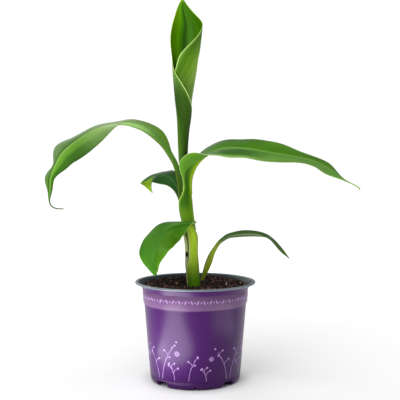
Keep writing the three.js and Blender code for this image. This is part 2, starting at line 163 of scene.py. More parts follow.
class Workpiece:
    """One piece on the bench: a primitive, shaped in edit mode and finished with modifiers."""

    def __init__(self, name: str, primitive: Primitive, **sizes: Any) -> None:
        """Adds the primitive.

        Args:
            name: the piece's name.
            primitive: what it starts from.
            sizes: the primitive's own sizes and place, in metres.
        """
        deselect_all()
        getattr(bpy.ops.mesh, primitive.value)(**sizes)
        self.object = bpy.context.object
        self.object.name = name
        self.object.data.name = name

    @property
    def name(self) -> str:
        """The piece's name."""
        return self.object.name

    def activate(self) -> None:
        """Makes this the one selected and active object."""
        deselect_all()
        self.object.select_set(True)
        bpy.context.view_layer.objects.active = self.object

    @contextmanager
    def editing(self) -> Iterator[bmesh.types.BMesh]:
        """Edit mode on this piece alone, with its mesh to select in."""
        self.activate()
        bpy.ops.object.mode_set(mode="EDIT")
        bpy.ops.mesh.select_mode(type="VERT")
        yield bmesh.from_edit_mesh(self.object.data)
        bpy.ops.object.mode_set(mode="OBJECT")

    def select_all(self) -> None:
        """Selects the whole mesh, in edit mode."""
        bpy.ops.mesh.select_all(action="SELECT")

    def select_points(self, mesh: bmesh.types.BMesh, test: Callable[[Vector], bool]) -> None:
        """Selects the points whose place passes a test, with the edges between them."""
        bpy.ops.mesh.select_mode(type="VERT")
        bpy.ops.mesh.select_all(action="DESELECT")
        for point in mesh.verts:
            point.select = test(point.co)
        mesh.select_flush(True)

    def select_faces(self, mesh: bmesh.types.BMesh, test: Callable[[Any], bool]) -> None:
        """Selects the faces that pass a test."""
        bpy.ops.mesh.select_all(action="DESELECT")
        bpy.ops.mesh.select_mode(type="FACE")
        for face in mesh.faces:
            face.select = test(face)

    def place_points(self, places: Sequence[Vector]) -> None:
        """Moves each point of the mesh to its own place, in the mesh's order."""
        with self.editing() as mesh:
            bpy.ops.mesh.select_all(action="DESELECT")
            for point, place in zip(list(mesh.verts), places):
                point.select = True
                bpy.ops.transform.translate(value=place - point.co)
                point.select = False

    def modify(self, kind: str, **settings: Any) -> None:
        """Adds a modifier of a kind with its settings, and applies it."""
        self.activate()
        modifier = self.object.modifiers.new(kind.title(), kind)
        for name, value in settings.items():
            setattr(modifier, name, value)
        bpy.ops.object.modifier_apply(modifier=modifier.name)

    def subdivide(self, levels: int) -> None:
        """Rounds the piece by subdivision."""
        self.modify("SUBSURF", levels=levels, render_levels=levels)

    def apply_place(self) -> None:
        """Moves the object's place, turn and scale into its mesh."""
        self.activate()
        bpy.ops.object.transform_apply(location=True, rotation=True, scale=True)

    def face_outwards(self) -> None:
        """Points every face away from the solid that it bounds."""
        with self.editing():
            self.select_all()
            bpy.ops.mesh.normals_make_consistent(inside=False)

    def shade_smooth(self, angle: float) -> None:
        """Smooth shading, with edges sharper than an angle left crisp."""
        self.activate()
        bpy.ops.object.shade_smooth_by_angle(angle=math.radians(angle))

    def dress(self, *materials: bpy.types.Material) -> None:
        """Gives the piece its materials, in the order of its material slots."""
        self.object.data.materials.clear()
        for material in materials:
            self.object.data.materials.append(material)

    def dress_faces(self, slot: int, test: Callable[[Any], bool]) -> None:
        """Gives one of the materials to the faces that pass a test."""
        with self.editing() as mesh:
            self.select_faces(mesh, test)
            self.object.active_material_index = slot
            bpy.ops.object.material_slot_assign()

    def copy(self, name: str, turn: float = 0.0) -> "Workpiece":
        """A copy with its own mesh, turned about the pot's axis by an angle in degrees."""
        self.activate()
        bpy.ops.object.duplicate()
        twin = object.__new__(Workpiece)
        twin.object = bpy.context.object
        twin.object.name = name
        twin.object.data.name = name
        twin.object.rotation_euler.z = math.radians(turn)
        twin.apply_place()
        return twin

    def join(self, others: Sequence["Workpiece"]) -> None:
        """Joins other pieces into this one."""
        self.activate()
        for other in others:
            other.object.select_set(True)
        bpy.ops.object.join()

    def remove(self) -> None:
        """Takes a helper piece off the bench."""
        bpy.data.objects.remove(self.object)

    def fit(self, slot: str, *nodes: str) -> None:
        """Hands the piece over to the frame.

        Args:
            slot: the record's material slot; not used.
            nodes: the nodes that it stands for.
        """
        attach(self.object, BODY)
        if nodes:
            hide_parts(*nodes)
        log.info("%s: %d faces, for %s", self.name, len(self.object.data.polygons), nodes or "-")


def join_all(name: str, parts: Sequence[Workpiece]) -> Workpiece:
    """Joins parts into one piece with a name of its own."""
    first = parts[0]
    first.join(parts[1:])
    first.object.name = name
    first.object.data.name = name
    return first


def lofted(name: str, sides: int, rings: Sequence[Ring]) -> Workpiece:
    """A closed solid: a ring, extruded and resized from section to section.

    Args:
        name: the piece's name.
        sides: how many points each section has.
        rings: the sections, the first of them the only one so low and so narrow.

    Returns:
        The solid, both its ends closed with a face.
    """
    first = rings[0]
    solid = Workpiece(name, Primitive.CIRCLE, vertices=sides, radius=first.radius * MM,
                      fill_type=Fill.NONE.value, location=first.centre)
    solid.apply_place()
    with solid.editing() as mesh:
        solid.select_all()
        for below, above in zip(rings, rings[1:]):
            step = [(end - start) * MM for start, end in zip(below[1:3], above[1:3])]
            rise = (above.z - below.z) * MM
            bpy.ops.mesh.extrude_region_move(TRANSFORM_OT_translate={"value": (*step, rise)})
            grow = above.radius / below.radius
            bpy.ops.transform.resize(value=(grow, grow, 1), center_override=above.centre)
        bpy.ops.mesh.edge_face_add()
        height, reach = (first.z + NEAR) * MM, (first.radius + NEAR) * MM
        solid.select_points(
            mesh, lambda p: p.z < height and (p - first.centre).xy.length < reach)
        bpy.ops.mesh.edge_face_add()
    solid.face_outwards()
    return solid


def sign(operation: str, swapped: bool = False) -> Callable[["Signal", Any], "Signal"]:
    """A signal's method for an arithmetic sign.

    Args:
        operation: the operation of the Math node that the sign adds.
        swapped: whether the signal stands to the sign's right.
    """
    def method(signal: "Signal", other: Any) -> "Signal":
        """What the sign works out."""
        values = (other, signal) if swapped else (signal, other)
        return signal.recipe.math(operation, *values)

    return method


class Signal:
    """A socket of a node tree. An expression on signals adds the Math nodes that work it out."""

    def __init__(self, recipe: "Recipe", socket: bpy.types.NodeSocket) -> None:
        """Wraps a node's output socket."""
        self.recipe = recipe
        self.socket = socket

    __add__ = sign("ADD")
    __radd__ = sign("ADD", swapped=True)
    __sub__ = sign("SUBTRACT")
    __rsub__ = sign("SUBTRACT", swapped=True)
    __mul__ = sign("MULTIPLY")
    __rmul__ = sign("MULTIPLY", swapped=True)

    def __abs__(self) -> "Signal":
        """Size without sign."""
        return self.recipe.math("ABSOLUTE", self)


class Recipe:
    """Builds the nodes of one material or geometry group."""

    def __init__(self, tree: bpy.types.NodeTree) -> None:
        """Empties the tree and starts on it."""
        self.tree = tree
        self.tree.nodes.clear()

    def add(self, kind: str, settings: dict[str, Any] | None = None,
            inputs: dict[Any, Any] | None = None, output: int | str = 0) -> Signal:
        """Adds a node.

        Args:
            kind: the node's type.
            settings: its own settings, with a ramp's stops under the name stops.
            inputs: values or signals for its sockets, by name or number.
            output: which of its outputs is given back.

        Returns:
            That output.
        """
        node = self.tree.nodes.new(kind)
        for name, value in (settings or {}).items():
            if name == "stops":
                self._set_stops(node.color_ramp, value)
            else:
                setattr(node, name, value)
        for name, value in (inputs or {}).items():
            if isinstance(value, Signal):
                self.tree.links.new(value.socket, node.inputs[name])
            else:
                node.inputs[name].default_value = value
        return Signal(self, node.outputs[output] if node.outputs else None)

    def _set_stops(self, ramp: bpy.types.ColorRamp, stops: Stops) -> None:
        """Gives a colour ramp its stops."""
        ramp.interpolation = "EASE"
        while len(ramp.elements) < len(stops):
            ramp.elements.new(1.0)
        for element, (position, shade) in zip(ramp.elements, stops):
            element.position = position
            element.color = linear(shade)

    def math(self, operation: str, *values: Any) -> Signal:
        """A Math node on one or two values."""
        return self.add("ShaderNodeMath", {"operation": operation}, dict(enumerate(values)))

    def ease(self, value: Signal, low: float, high: float) -> Signal:
        """0 below low, 1 above high and a smooth step between them."""
        return self.add("ShaderNodeMapRange", {"interpolation_type": "SMOOTHSTEP"},
                        {"Value": value, "From Min": low, "From Max": high})

    def vector(self, x: Signal, y: Signal, z: Signal) -> Signal:
        """A vector from three numbers."""
        return self.add("ShaderNodeCombineXYZ", None, {"X": x, "Y": y, "Z": z})

    def split(self, vector: Signal) -> tuple[Signal, Signal, Signal]:
        """The three numbers of a vector."""
        node = self.add("ShaderNodeSeparateXYZ", None, {0: vector}).socket.node
        return tuple(Signal(self, socket) for socket in node.outputs)

    def noise(self, vector: Signal, scale: float, detail: float = 2.0) -> Signal:
        """Soft noise between 0 and 1."""
        return self.add("ShaderNodeTexNoise", None,
                        {"Vector": vector, "Scale": scale, "Detail": detail}, "Fac")

    def ramp(self, value: Signal, stops: Stops) -> Signal:
        """A colour from a value by a ramp."""
        return self.add("ShaderNodeValToRGB", {"stops": stops}, {"Fac": value})

    def mix(self, share: Signal, first: Signal | str, second: Signal | str) -> Signal:
        """A mix of two colours, each a signal or a screen shade."""
        colours = [linear(c) if isinstance(c, str) else c for c in (first, second)]
        return self.add("ShaderNodeMix", {"data_type": "RGBA"},
                        {0: share, 6: colours[0], 7: colours[1]}, 2)

    def around(self, middle: float, noise: Signal, spread: float) -> Signal:
        """A value that noise moves by half a spread to either side."""
        return noise * spread + (middle - spread / 2)

    def brighten(self, colour: Signal, value: Signal) -> Signal:
        """A colour with its brightness multiplied."""
        return self.add("ShaderNodeHueSaturation", None, {"Color": colour, "Value": value})

    def bump(self, height: Signal, depth: float, strength: float) -> Signal:
        """A normal from a height between 0 and 1, whose full step is a depth in millimetres."""
        return self.add("ShaderNodeBump", None,
                        {"Height": height, "Distance": depth * MM, "Strength": strength})

    def measure(self, operation: str, *vectors: Any) -> Signal:
        """The number that a Vector Math node, such as DISTANCE or LENGTH, works out."""
        return self.add("ShaderNodeVectorMath", {"operation": operation},
                        dict(enumerate(vectors)), "Value")

    def place(self) -> Signal:
        """The surface point in the object's own coordinates, in metres."""
        return self.add("ShaderNodeTexCoord", None, None, "Object")

    def across_and_along(self) -> tuple[Signal, Signal]:
        """The point's place on its sheet: across from the left margin, and along from the foot."""
        uv = self.add("ShaderNodeUVMap", {"uv_map": UV_NAME})
        across, along, _ = self.split(uv)
        return across, along

    def surface(self, **inputs: Any) -> None:
        """Ends a material with a Principled surface, its sockets named with _ for a space."""
        named = {name.replace("_", " "): value for name, value in inputs.items()}
        shader = self.add("ShaderNodeBsdfPrincipled", None, named)
        self.add("ShaderNodeOutputMaterial", None, {"Surface": shader})

    def coat(self, colour: Signal, roughness: Signal, shine: float, relief: Signal) -> None:
        """Ends a material with its colour, roughness, reflection and relief."""
        self.surface(Base_Color=colour, Roughness=roughness, Specular_IOR_Level=shine,
                     Normal=relief)


def new_material(name: str) -> tuple[bpy.types.Material, Recipe]:
    """An empty node material and the recipe that fills it."""
    material = bpy.data.materials.new(name)
    material.use_nodes = True
    return material, Recipe(material.node_tree)


def even(*shades: str) -> Stops:
    """The stops of a ramp through shades at even steps, or of one shade throughout."""
    shades = shades if shades[1:] else shades * 2
    return [(i / (len(shades) - 1), shade) for i, shade in enumerate(shades)]


@dataclass(frozen=True)
class BladeFace:
    """The finish of one face of a blade or sheath, by its place across and along.

    Across runs from 0 at the left margin over 0.5 at the rib to 1 at the right margin, as seen
    along the leaf with its upper face up. Along runs from 0 at the foot to 1 at the tip. Reach
    runs from 0 at the rib to 1 at either margin.
    """

    name: str
    foot: Stops  # across, near the foot
    blade: Stops  # across, from the meeting on
    meet: Pair = (0.3, 0.5)  # along, where foot gives way to blade
    meet_slant: float = 0.0  # how much nearer the foot the margins change
    rib: str = "#7d9a4a"
    rib_share: float = 0.6
    rib_span: Pair = (0.06, 0.13)  # reach, where the rib's shade fades
    edge: str = "#a9c07a"
    edge_share: float = 0.6
    edge_from: float = 0.9  # reach where the margin begins
    tip: str = "#8b8a5c"
    tip_start: float = 0.93
    base: str = ""  # shade of the foot's own end
    base_end: float = 0.0
    base_share: float = 1.0
    base_soft: Pair = (0.6, 1.2)  # shares of base_end, where the base fades
    streak: float = 0.16  # how strongly the painted shade of creases and the tone of patches change the colour
    streak_count: float = 4.5  # long streaks between rib and margin
    wave_count: float = 5.0  # how often a streak changes along the leaf
    halves: Pair = (0.49, 0.51)  # across, where one half ends
    half_gap: float = 7.0  # sets the two halves' streaks apart
    crease_detail: float = 0.8
    # weight of the painted shade that creases give the colour, against the patches' tone
    crease_painted_shade: float = 3.4
    patch_count: float = 60.0  # patches in a metre
    patch_shade: float = 1.2
    vein_count: float = 70.0
    vein_slant: float = 0.1
    vein_height: float = 0.05  # share of the relief
    crease_height: float = 0.6  # share of the relief
    relief: float = 0.14  # in millimetres
    relief_strength: float = 0.7
    roughness: float = 0.46
    roughness_spread: float = 0.12
    shine: float = 0.12
    scar: Triple | None = None  # middle of a dark scar
    scar_shade: str = "#0c0c08"
    scar_radius: float = 3.4
    scar_soft: float = 0.7  # share of its radius where the scar starts to fade

    def material(self) -> bpy.types.Material:
        """The face's material."""
        material, recipe = new_material(self.name)
        across, along = recipe.across_and_along()
        reach = abs(across - 0.5) * 2
        half = recipe.ease(across, *self.halves) * self.half_gap
        grain = recipe.vector(along * self.wave_count, reach * self.streak_count, half)
        creases = recipe.noise(grain, 1.0, self.crease_detail)
        patches = recipe.noise(recipe.place(), self.patch_count)
        rib = 1 - recipe.ease(reach, *self.rib_span)
        veins = recipe.math("SINE", (along - reach * self.vein_slant)
                            * (self.vein_count * 2 * math.pi))
        height = (veins * self.vein_height + creases * self.crease_height) * (1 - rib)
        recipe.coat(
            self.colour(recipe, across, along, reach, rib, self.painted_fold_shade_and_tone(creases, patches)),
            recipe.around(self.roughness, patches, self.roughness_spread), self.shine,
            recipe.bump(height, self.relief, self.relief_strength))
        return material

    def painted_fold_shade_and_tone(self, creases: Signal, patches: Signal) -> Signal:
        """Painted shade along the creases, with random tone from the patches, as a brightness of 1 on
        average.
        """
        middle = (self.crease_painted_shade + self.patch_shade) / 2
        lumps = creases * self.crease_painted_shade + patches * self.patch_shade - middle
        return lumps * self.streak + 1

    def colour(self, recipe: Recipe, across: Signal, along: Signal, reach: Signal, rib: Signal,
               painted_fold_shade_and_tone: Signal) -> Signal:
        """The face's colour: foot and blade, then base, rib, painted crease shade with patch tone,
        margin, tip and scar.
        """
        change = recipe.ease(along + reach * self.meet_slant, *self.meet)
        colour = recipe.mix(change, recipe.ramp(across, self.foot), recipe.ramp(across, self.blade))
        if self.base:
            grown = recipe.ease(along, *(share * self.base_end for share in self.base_soft))
            colour = recipe.mix((1 - grown) * self.base_share, colour, self.base)
        colour = recipe.mix(rib * self.rib_share, colour, self.rib)
        # creases darken and lighten the colour as painted shade; patches vary its tone
        colour = recipe.brighten(colour, painted_fold_shade_and_tone)
        edge = recipe.ease(reach, self.edge_from, (self.edge_from + 1) / 2)
        colour = recipe.mix(edge * self.edge_share, colour, self.edge)
        colour = recipe.mix(recipe.ease(along, self.tip_start, 1.0), colour, self.tip)
        if self.scar:
            distance = recipe.measure("DISTANCE", recipe.place(), Vector(self.scar) * MM)
            radius = self.scar_radius * MM
            away = recipe.ease(distance, radius * self.scar_soft, radius)
            colour = recipe.mix(away, self.scar_shade, colour)
        return colour


@dataclass(frozen=True)
class PlasticFinish:
    """Moulded plastic with a fine satin grain, and a band of another shade between two heights."""

    name: str
    shade: str
    band_shade: str = ""
    band_foot: float = 0.0
    band_top: float = 1000.0
    band_soft: float = 0.5
    roughness: float = 0.34
    roughness_spread: float = 0.1
    shine: float = 0.12
    cloud_count: float = 35.0  # clouds in a metre
    cloud_detail: float = 3.0
    cloud_spread: float = 0.16
    grain_count: float = 1400.0  # grains in a metre
    grain_depth: float = 0.02
    grain_strength: float = 0.5

    def material(self) -> bpy.types.Material:
        """The plastic's material."""
        material, recipe = new_material(self.name)
        place = recipe.place()
        _, _, height = recipe.split(place)
        clouds = recipe.noise(place, self.cloud_count, self.cloud_detail)
        above_foot, above_top = (
            recipe.ease(height, (edge - self.band_soft) * MM, (edge + self.band_soft) * MM)
            for edge in (self.band_foot, self.band_top))
        colour = recipe.mix(above_foot * (1 - above_top), self.shade, self.band_shade or self.shade)
        recipe.coat(
            recipe.brighten(colour, recipe.around(1.0, clouds, self.cloud_spread)),
            recipe.around(self.roughness, clouds, self.roughness_spread), self.shine,
            recipe.bump(recipe.noise(place, self.grain_count), self.grain_depth,
                        self.grain_strength))
        return material


@dataclass(frozen=True)
class SoilFinish:
    """Damp potting soil or one of its crumbs."""

    name: str
    dark: str
    light: str
    lump_count: float = 220.0  # lumps in a metre
    lump_detail: float = 4.0
    lump_share: float = 0.6  # of the shade, the rest following the grains
    grain_count: float = 900.0  # grains in a metre
    grain_detail: float = 3.0
    grain_depth: float = 0.6
    grain_strength: float = 0.8
    contrast: Pair = (0.35, 0.65)
    roughness: float = 0.85
    roughness_spread: float = 0.2
    shine: float = 0.15

    def material(self) -> bpy.types.Material:
        """The soil's material."""
        material, recipe = new_material(self.name)
        place = recipe.place()
        lumps = recipe.noise(place, self.lump_count, self.lump_detail)
        grains = recipe.noise(place, self.grain_count, self.grain_detail)
        share = lumps * self.lump_share + grains * (1 - self.lump_share)
        recipe.coat(
            recipe.mix(recipe.ease(share, *self.contrast), self.dark, self.light),
            recipe.around(self.roughness, grains, self.roughness_spread), self.shine,
            recipe.bump(grains, self.grain_depth, self.grain_strength))
        return material


@dataclass(frozen=True)
class StemFinish:
    """Fleshy stem with fine lengthwise fibres, in shades by height."""

    name: str
    low: str
    high: str
    turn_height: float
    soft: float
    fibre_count: float = 900.0  # fibres in a metre round the stem
    fibre_waves: float = 25.0  # how often a fibre changes in a metre up the stem
    fibre_detail: float = 3.0
    fibre_spread: float = 0.5
    fibre_depth: float = 0.2
    fibre_strength: float = 0.6
    roughness: float = 0.455
    roughness_spread: float = 0.15
    shine: float = 0.5

    def material(self) -> bpy.types.Material:
        """The stem's material."""
        material, recipe = new_material(self.name)
        x, y, height = recipe.split(recipe.place())
        share = recipe.ease(height, (self.turn_height - self.soft) * MM,
                            (self.turn_height + self.soft) * MM)
        grain = recipe.vector(x * self.fibre_count, y * self.fibre_count,
                              height * self.fibre_waves)
        fibres = recipe.noise(grain, 1.0, self.fibre_detail)
        recipe.coat(
            recipe.brighten(recipe.mix(share, self.low, self.high),
                            recipe.around(1.0, fibres, self.fibre_spread)),
            recipe.around(self.roughness, fibres, self.roughness_spread), self.shine,
            recipe.bump(fibres, self.fibre_depth, self.fibre_strength))
        return material


@dataclass(frozen=True)
class Lamp:
    """A soft box that faces the plant, or a glowing card flat on the floor for the pot to mirror."""

    name: str
    azimuth: float  # degrees to the left of the front
    distance: float  # from the pot's axis
    height: float  # over the floor
    size: Pair  # width, and height or length away from the pot
    power: float  # watts
    flat: bool = False  # whether it is a card
    aim: float = 180.0  # height that a soft box faces

    def build(self) -> None:
        """Adds the lamp, which the camera doesn't see."""
        azimuth = FRONT - self.azimuth
        place = polar(self.distance, azimuth, self.height) * MM
        bpy.ops.object.light_add(type="AREA", location=place)
        light = bpy.context.object
        light.name = self.name
        light.data.shape = "RECTANGLE"
        light.data.size, light.data.size_y = (side * MM for side in self.size)
        light.data.energy = self.power
        light.visible_camera = False
        if self.flat:
            light.rotation_euler = (math.pi, 0, math.radians(azimuth + 90))
        else:
            ray = Vector((0, 0, self.aim)) * MM - place
            light.rotation_euler = ray.to_track_quat("-Z", "Y").to_euler()


@dataclass
class Studio:
    """The camera at the photograph's angle, plain soft light and a pale floor."""

    camera_x: float = 4.7
    distance: float = 720.0
    eye_height: float = 203.0
    focal_pixels: float = 720.0
    frame_pixels: float = 400.0
    horizon_pixel: float = 175.0
    sensor: float = 36.0
    floor_side: float = 8.0  # metres
    floor_parts: int = 8
    floor_shades: tuple[str, str] = ("#dcdcdc", "#e0e0e0")
    floor_grain: float = 3.0
    floor_roughness: float = 0.8
    # the floor's glow is painted light, dimmer near the plant than far off
    glow_shades: tuple[str, str] = ("#b4b4b4", "#ffffff")
    glow_span: Pair = (0.15, 1.1)  # metres, from the first shade to the second
    painted_shadow_span: Pair = (0.036, 0.062)  # metres, a painted shadow under the pot, where the floor doesn't glow
    glow_strength: float = 0.5
    sky_strength: float = 1.9
    sky_turn: Pair = (38.0, -28.0)  # lean from straight down, and azimuth
    sky_spread: float = 70.0
    room_white: float = 0.3  # light from the white room all round
    room_seen: float = 1.05  # how white the camera sees it
    lamps: tuple[Lamp, ...] = (
        Lamp("key_light", 28.0, 1100.0, 560.0, (500.0, 900.0), 3.2),
        Lamp("side_light", -80.0, 1100.0, 520.0, (700.0, 900.0), 1.0),
        Lamp("left_rim", 112.0, 620.0, 520.0, (120.0, 360.0), 0.8),
        Lamp("right_rim", -112.0, 620.0, 520.0, (120.0, 360.0), 0.4),
        Lamp("back_light", 160.0, 1100.0, 800.0, (900.0, 700.0), 3.0),
        Lamp("left_card", 43.0, 185.0, 1.0, (112.0, 246.0), 0.74, flat=True),
        Lamp("right_card", -60.0, 230.0, 1.0, (150.0, 220.0), 0.22, flat=True),
    )

    def build(self) -> None:
        """Sets up the camera, the floor, the white room and the lamps."""
        self.add_camera()
        self.add_floor()
        self.add_world()
        self.add_sky()
        for lamp in self.lamps:
            lamp.build()
        scene = bpy.context.scene
        scene.view_settings.view_transform = "Standard"
        scene.view_settings.look = "None"
        log.info("studio ready")

    def add_camera(self) -> None:
        """Adds the level camera, with the small shift of the photograph's framing."""
        place = Vector((self.camera_x, -self.distance, self.eye_height)) * MM
        bpy.ops.object.camera_add(location=place, rotation=(math.radians(90), 0, 0))
        camera = bpy.context.object
        camera.name = "camera"
        camera.data.sensor_width = self.sensor
        camera.data.lens = self.focal_pixels * self.sensor / self.frame_pixels
        camera.data.shift_y = (self.horizon_pixel - self.frame_pixels / 2) / self.frame_pixels
        bpy.context.scene.camera = camera

    def add_sky(self) -> None:
        """Adds the broad soft light from above, which lights the whole floor evenly."""
        lean, azimuth = (math.radians(angle) for angle in self.sky_turn)
        bpy.ops.object.light_add(type="SUN", rotation=(lean, 0, azimuth))
        sky = bpy.context.object
        sky.name = "sky_light"
        sky.data.energy = self.sky_strength
        sky.data.angle = math.radians(self.sky_spread)

    def add_floor(self) -> None:
        """Adds the pale floor that the pot stands on, which glows as painted light, dimmer near the
        pot and dark under it as a painted shadow.
        """
        floor = Workpiece("floor", Primitive.GRID, x_subdivisions=self.floor_parts,
                          y_subdivisions=self.floor_parts, size=self.floor_side)
        material, recipe = new_material("floor_pale")
        place = recipe.place()
        distance = recipe.measure("LENGTH", place)
        glow = recipe.mix(recipe.ease(distance, *self.glow_span), *self.glow_shades)
        recipe.surface(
            Base_Color=recipe.mix(recipe.noise(place, self.floor_grain), *self.floor_shades),
            Roughness=self.floor_roughness,
            Emission_Color=recipe.mix(recipe.ease(distance, *self.painted_shadow_span), "#000000", glow),
            Emission_Strength=self.glow_strength,
        )
        floor.dress(material)

    def add_world(self) -> None:
        """Surrounds the plant with white, which lights it more weakly than it shows."""
        world = bpy.data.worlds.new("studio_white")
        world.use_nodes = True
        bpy.context.scene.world = world
        recipe = Recipe(world.node_tree)
        seen = recipe.add("ShaderNodeLightPath", None, None, "Is Camera Ray")
        strength = seen * (self.room_seen - self.room_white) + self.room_white
        white = recipe.add("ShaderNodeBackground", None,
                           {"Color": linear("#ffffff"), "Strength": strength})
        recipe.add("ShaderNodeOutputWorld", None, {"Surface": white})


def turned(name: str, sides: int, corners: Sequence[Pair]) -> Workpiece:
    """A solid of revolution by the radius and height of its corners."""
    return lofted(name, sides, [Ring(height, 0.0, 0.0, radius) for radius, height in corners])


@dataclass
class Cut:
    """A cut through the foot ring, at angles from the front on both sides."""

    angles: tuple[float, ...]
    width: float
    top_width: float
    height: float


@dataclass
class Pot:
    """The round nursery pot: a turned shell with a foot ring, a raised band and a rolled lip."""

    sides: int = 96
    wall: float = 1.4
    foot_radius: float = 41.8
    foot_height: float = 6.6
    heel: tuple[Pair, ...] = ((42.9, 0.6), (44.0, 1.8), (44.6, 4.0))
    heel_radius: float = 44.8
    heel_height: float = 7.5
    crease: float = 0.5
    crease_rise: float = 0.2
    band_foot_radius: float = 50.6
    band_foot_height: float = 74.0
    shoulder: Pair = (0.5, -1.6)  # from the band foot's radius and the band's height
    band_radius: float = 51.9
    band_height: float = 77.8
    neck_radius: float = 52.6
    neck_height: float = 89.6
    neck_round: float = 0.3
    throat: Pair = (0.4, 1.1)  # from the neck
    under_lip: Pair = (1.6, 0.4)  # from the neck's radius and the lip's underside
    mouth: tuple[Pair, ...] = ((1.6, 1.5), (-0.2, 0.0))  # likewise, inside
    lip_inner_radius: float = 56.4
    lip_radius: float = 60.0
    lip_underside: float = 93.6
    lip_root: float = 3.6
    lip_rise: float = 1.9
    height: float = 97.5
    lip_round: float = 0.95
    lip_depth: float = 1.9
    inner_step: float = 1.3
    pad_radius: float = 15.0
    pad_taper: float = 1.5
    ring_width: float = 1.8
    ring_root: float = 3.4
    last_radius: float = 4.0
    edge_round: float = 0.25
    crisp: float = 38.0  # degrees, for an edge that is rounded and stays crisp
    cut_from: float = 34.0
    cut_reach: float = 14.0
    cut_below: float = 0.2
    cuts: tuple[Cut, ...] = (
        Cut((0.0, 90.0, 180.0, 270.0), 7.0, 1.6, 3.2),
        Cut((21.0, 159.0, 201.0, 339.0), 5.6, 3.6, 1.6),
        Cut((45.5, 134.5, 225.5, 314.5), 14.0, 13.0, 5.4),
    )
    band_shade_rise: float = 2.2  # from the band's foot to its paler shade
    neck_shade_rise: float = 0.4
    lip_shade_edge: float = 0.6  # how far in from the lip its shade reaches
    lip_shade_drop: float = 0.3

    def profile(self) -> list[Pair]:
        """The section as radius and height, from the pad under the middle out, up and back in."""
        inside = self.wall
        rounding = self.lip_round
        outer, inner = self.lip_radius - rounding, self.lip_inner_radius + rounding
        top = self.height - rounding
        return [
            (self.pad_radius, 0.0),
            (self.pad_radius + self.pad_taper, self.foot_height),
            (self.foot_radius - self.ring_root, self.foot_height),
            (self.foot_radius - self.ring_width, 0.0),
            (self.foot_radius, 0.0),
            *self.heel,
            (self.heel_radius, self.heel_height - self.crease),
            (self.heel_radius - self.crease / 2, self.heel_height),
            (self.heel_radius + self.crease_rise, self.heel_height + self.crease),
            (self.band_foot_radius, self.band_foot_height),
            *offsets(self.band_foot_radius, self.band_height, self.shoulder),
            (self.band_radius, self.band_height),
            (self.neck_radius, self.neck_height - self.neck_round),
            (self.neck_radius - self.neck_round, self.neck_height + self.neck_round),
            *offsets(self.neck_radius, self.neck_height, self.throat),
            *offsets(self.neck_radius, self.lip_underside, self.under_lip,
                     (self.lip_root, self.lip_rise)),
            *quarter_round(outer, self.height - self.lip_depth + rounding, rounding, -90),
            *quarter_round(outer, top, rounding, 0),
            *quarter_round(inner, top, rounding, 90),
            *offsets(self.neck_radius, self.lip_underside, *self.mouth),
            (self.neck_radius - inside, self.neck_height - self.inner_step),
            (self.band_radius - inside, self.band_height - self.inner_step),
            (self.band_foot_radius - inside, self.band_foot_height - self.inner_step),
            (self.heel_radius - inside, self.foot_height + inside),
            (self.last_radius, self.foot_height + inside),
        ]

    def build(self) -> Workpiece:
        """Models, dresses and fits the pot."""
        body = turned("pot_body", self.sides, self.profile())
        cutters = self.foot_cutters()
        body.modify("BOOLEAN", operation="DIFFERENCE", solver="EXACT", object=cutters.object)
        cutters.remove()
        body.modify("BEVEL", width=self.edge_round * MM, segments=2, limit_method="ANGLE",
                    angle_limit=math.radians(self.crisp))
        body.shade_smooth(self.crisp)
        self.dress(body)
        body.fit("pot_plastic", "pot")
        return body

    def foot_cutters(self) -> Workpiece:
        """All the cutters of the foot ring, each a tapered bar that lies across it."""
        cutters = []
        for cut in self.cuts:
            bar = Workpiece("foot_cutter", Primitive.CUBE, size=1)
            tall = cut.height + self.cut_below
            bar.object.scale = Vector((self.cut_reach, cut.width, tall)) * MM
            middle = self.cut_from + self.cut_reach / 2
            bar.object.location = Vector((middle, 0, tall / 2 - self.cut_below)) * MM
            bar.apply_place()
            with bar.editing() as mesh:
                bar.select_points(mesh, lambda p: p.z > 0)
                bpy.ops.transform.resize(value=(1, cut.top_width / cut.width, 1),
                                         center_override=(0, 0, 0))
            cutters += [bar.copy("foot_cutter", FRONT + angle) for angle in cut.angles]
            bar.remove()
        return join_all("foot_cutters", cutters)

    def dress(self, body: Workpiece) -> None:
        """Purple outside with a paler band, a blue-grey lip and a dark slate inside."""
        outside = PlasticFinish(
            "purple_plastic", "#340848", "#5c4064", self.band_foot_height + self.band_shade_rise,
            self.neck_height + self.neck_shade_rise, roughness=0.32, shine=0.2)
        lip = PlasticFinish("lip_plastic", "#58636a", roughness=0.26, shine=0.7)
        inside = PlasticFinish("slate_plastic", "#262f35", roughness=0.42)
        body.dress(outside.material(), lip.material(), inside.material())
        lip_foot = (self.lip_underside + self.lip_rise - self.lip_shade_drop) * MM
        lip_edge = (self.lip_inner_radius - self.lip_shade_edge) * MM
        bottom = (self.foot_height + self.wall - NEAR) * MM
        upright = 0.9  # the rise of a face that looks up

        def on_lip(face: Any) -> bool:
            """Whether a face belongs to the rolled lip."""
            middle = face.calc_center_median()
            return middle.z > lip_foot and middle.xy.length > lip_edge

        def on_inside(face: Any) -> bool:
            """Whether a face looks into the pot."""
            middle = face.calc_center_median()
            inward = face.normal.xy.dot(middle.xy) < 0 or face.normal.z > upright
            return middle.z > bottom and inward and middle.xy.length < lip_edge

        body.dress_faces(1, on_lip)
        body.dress_faces(2, on_inside)


def offsets(radius: float, height: float, *steps: Pair) -> list[Pair]:
    """Corners of a turned profile, by their steps from one place of it."""
    return [(radius + out, height + up) for out, up in steps]


def quarter_round(radius: float, height: float, size: float, start: float) -> list[Pair]:
    """Corners of a quarter turn about a place of a turned profile, from outwards towards up."""
    steps = 4
    angles = [math.radians(start + 90 * i / steps) for i in range(steps + 1)]
    return [(radius + size * math.cos(a), height + size * math.sin(a)) for a in angles]


class Sprig(NamedTuple):
    """A printed sprig: where its stalk starts, how high it ends and the side it bends to."""

    x: float
    top: float
    side: int


class Daisy(NamedTuple):
    """A printed daisy: its middle and how far its petals reach."""

    x: float
    z: float
    size: float


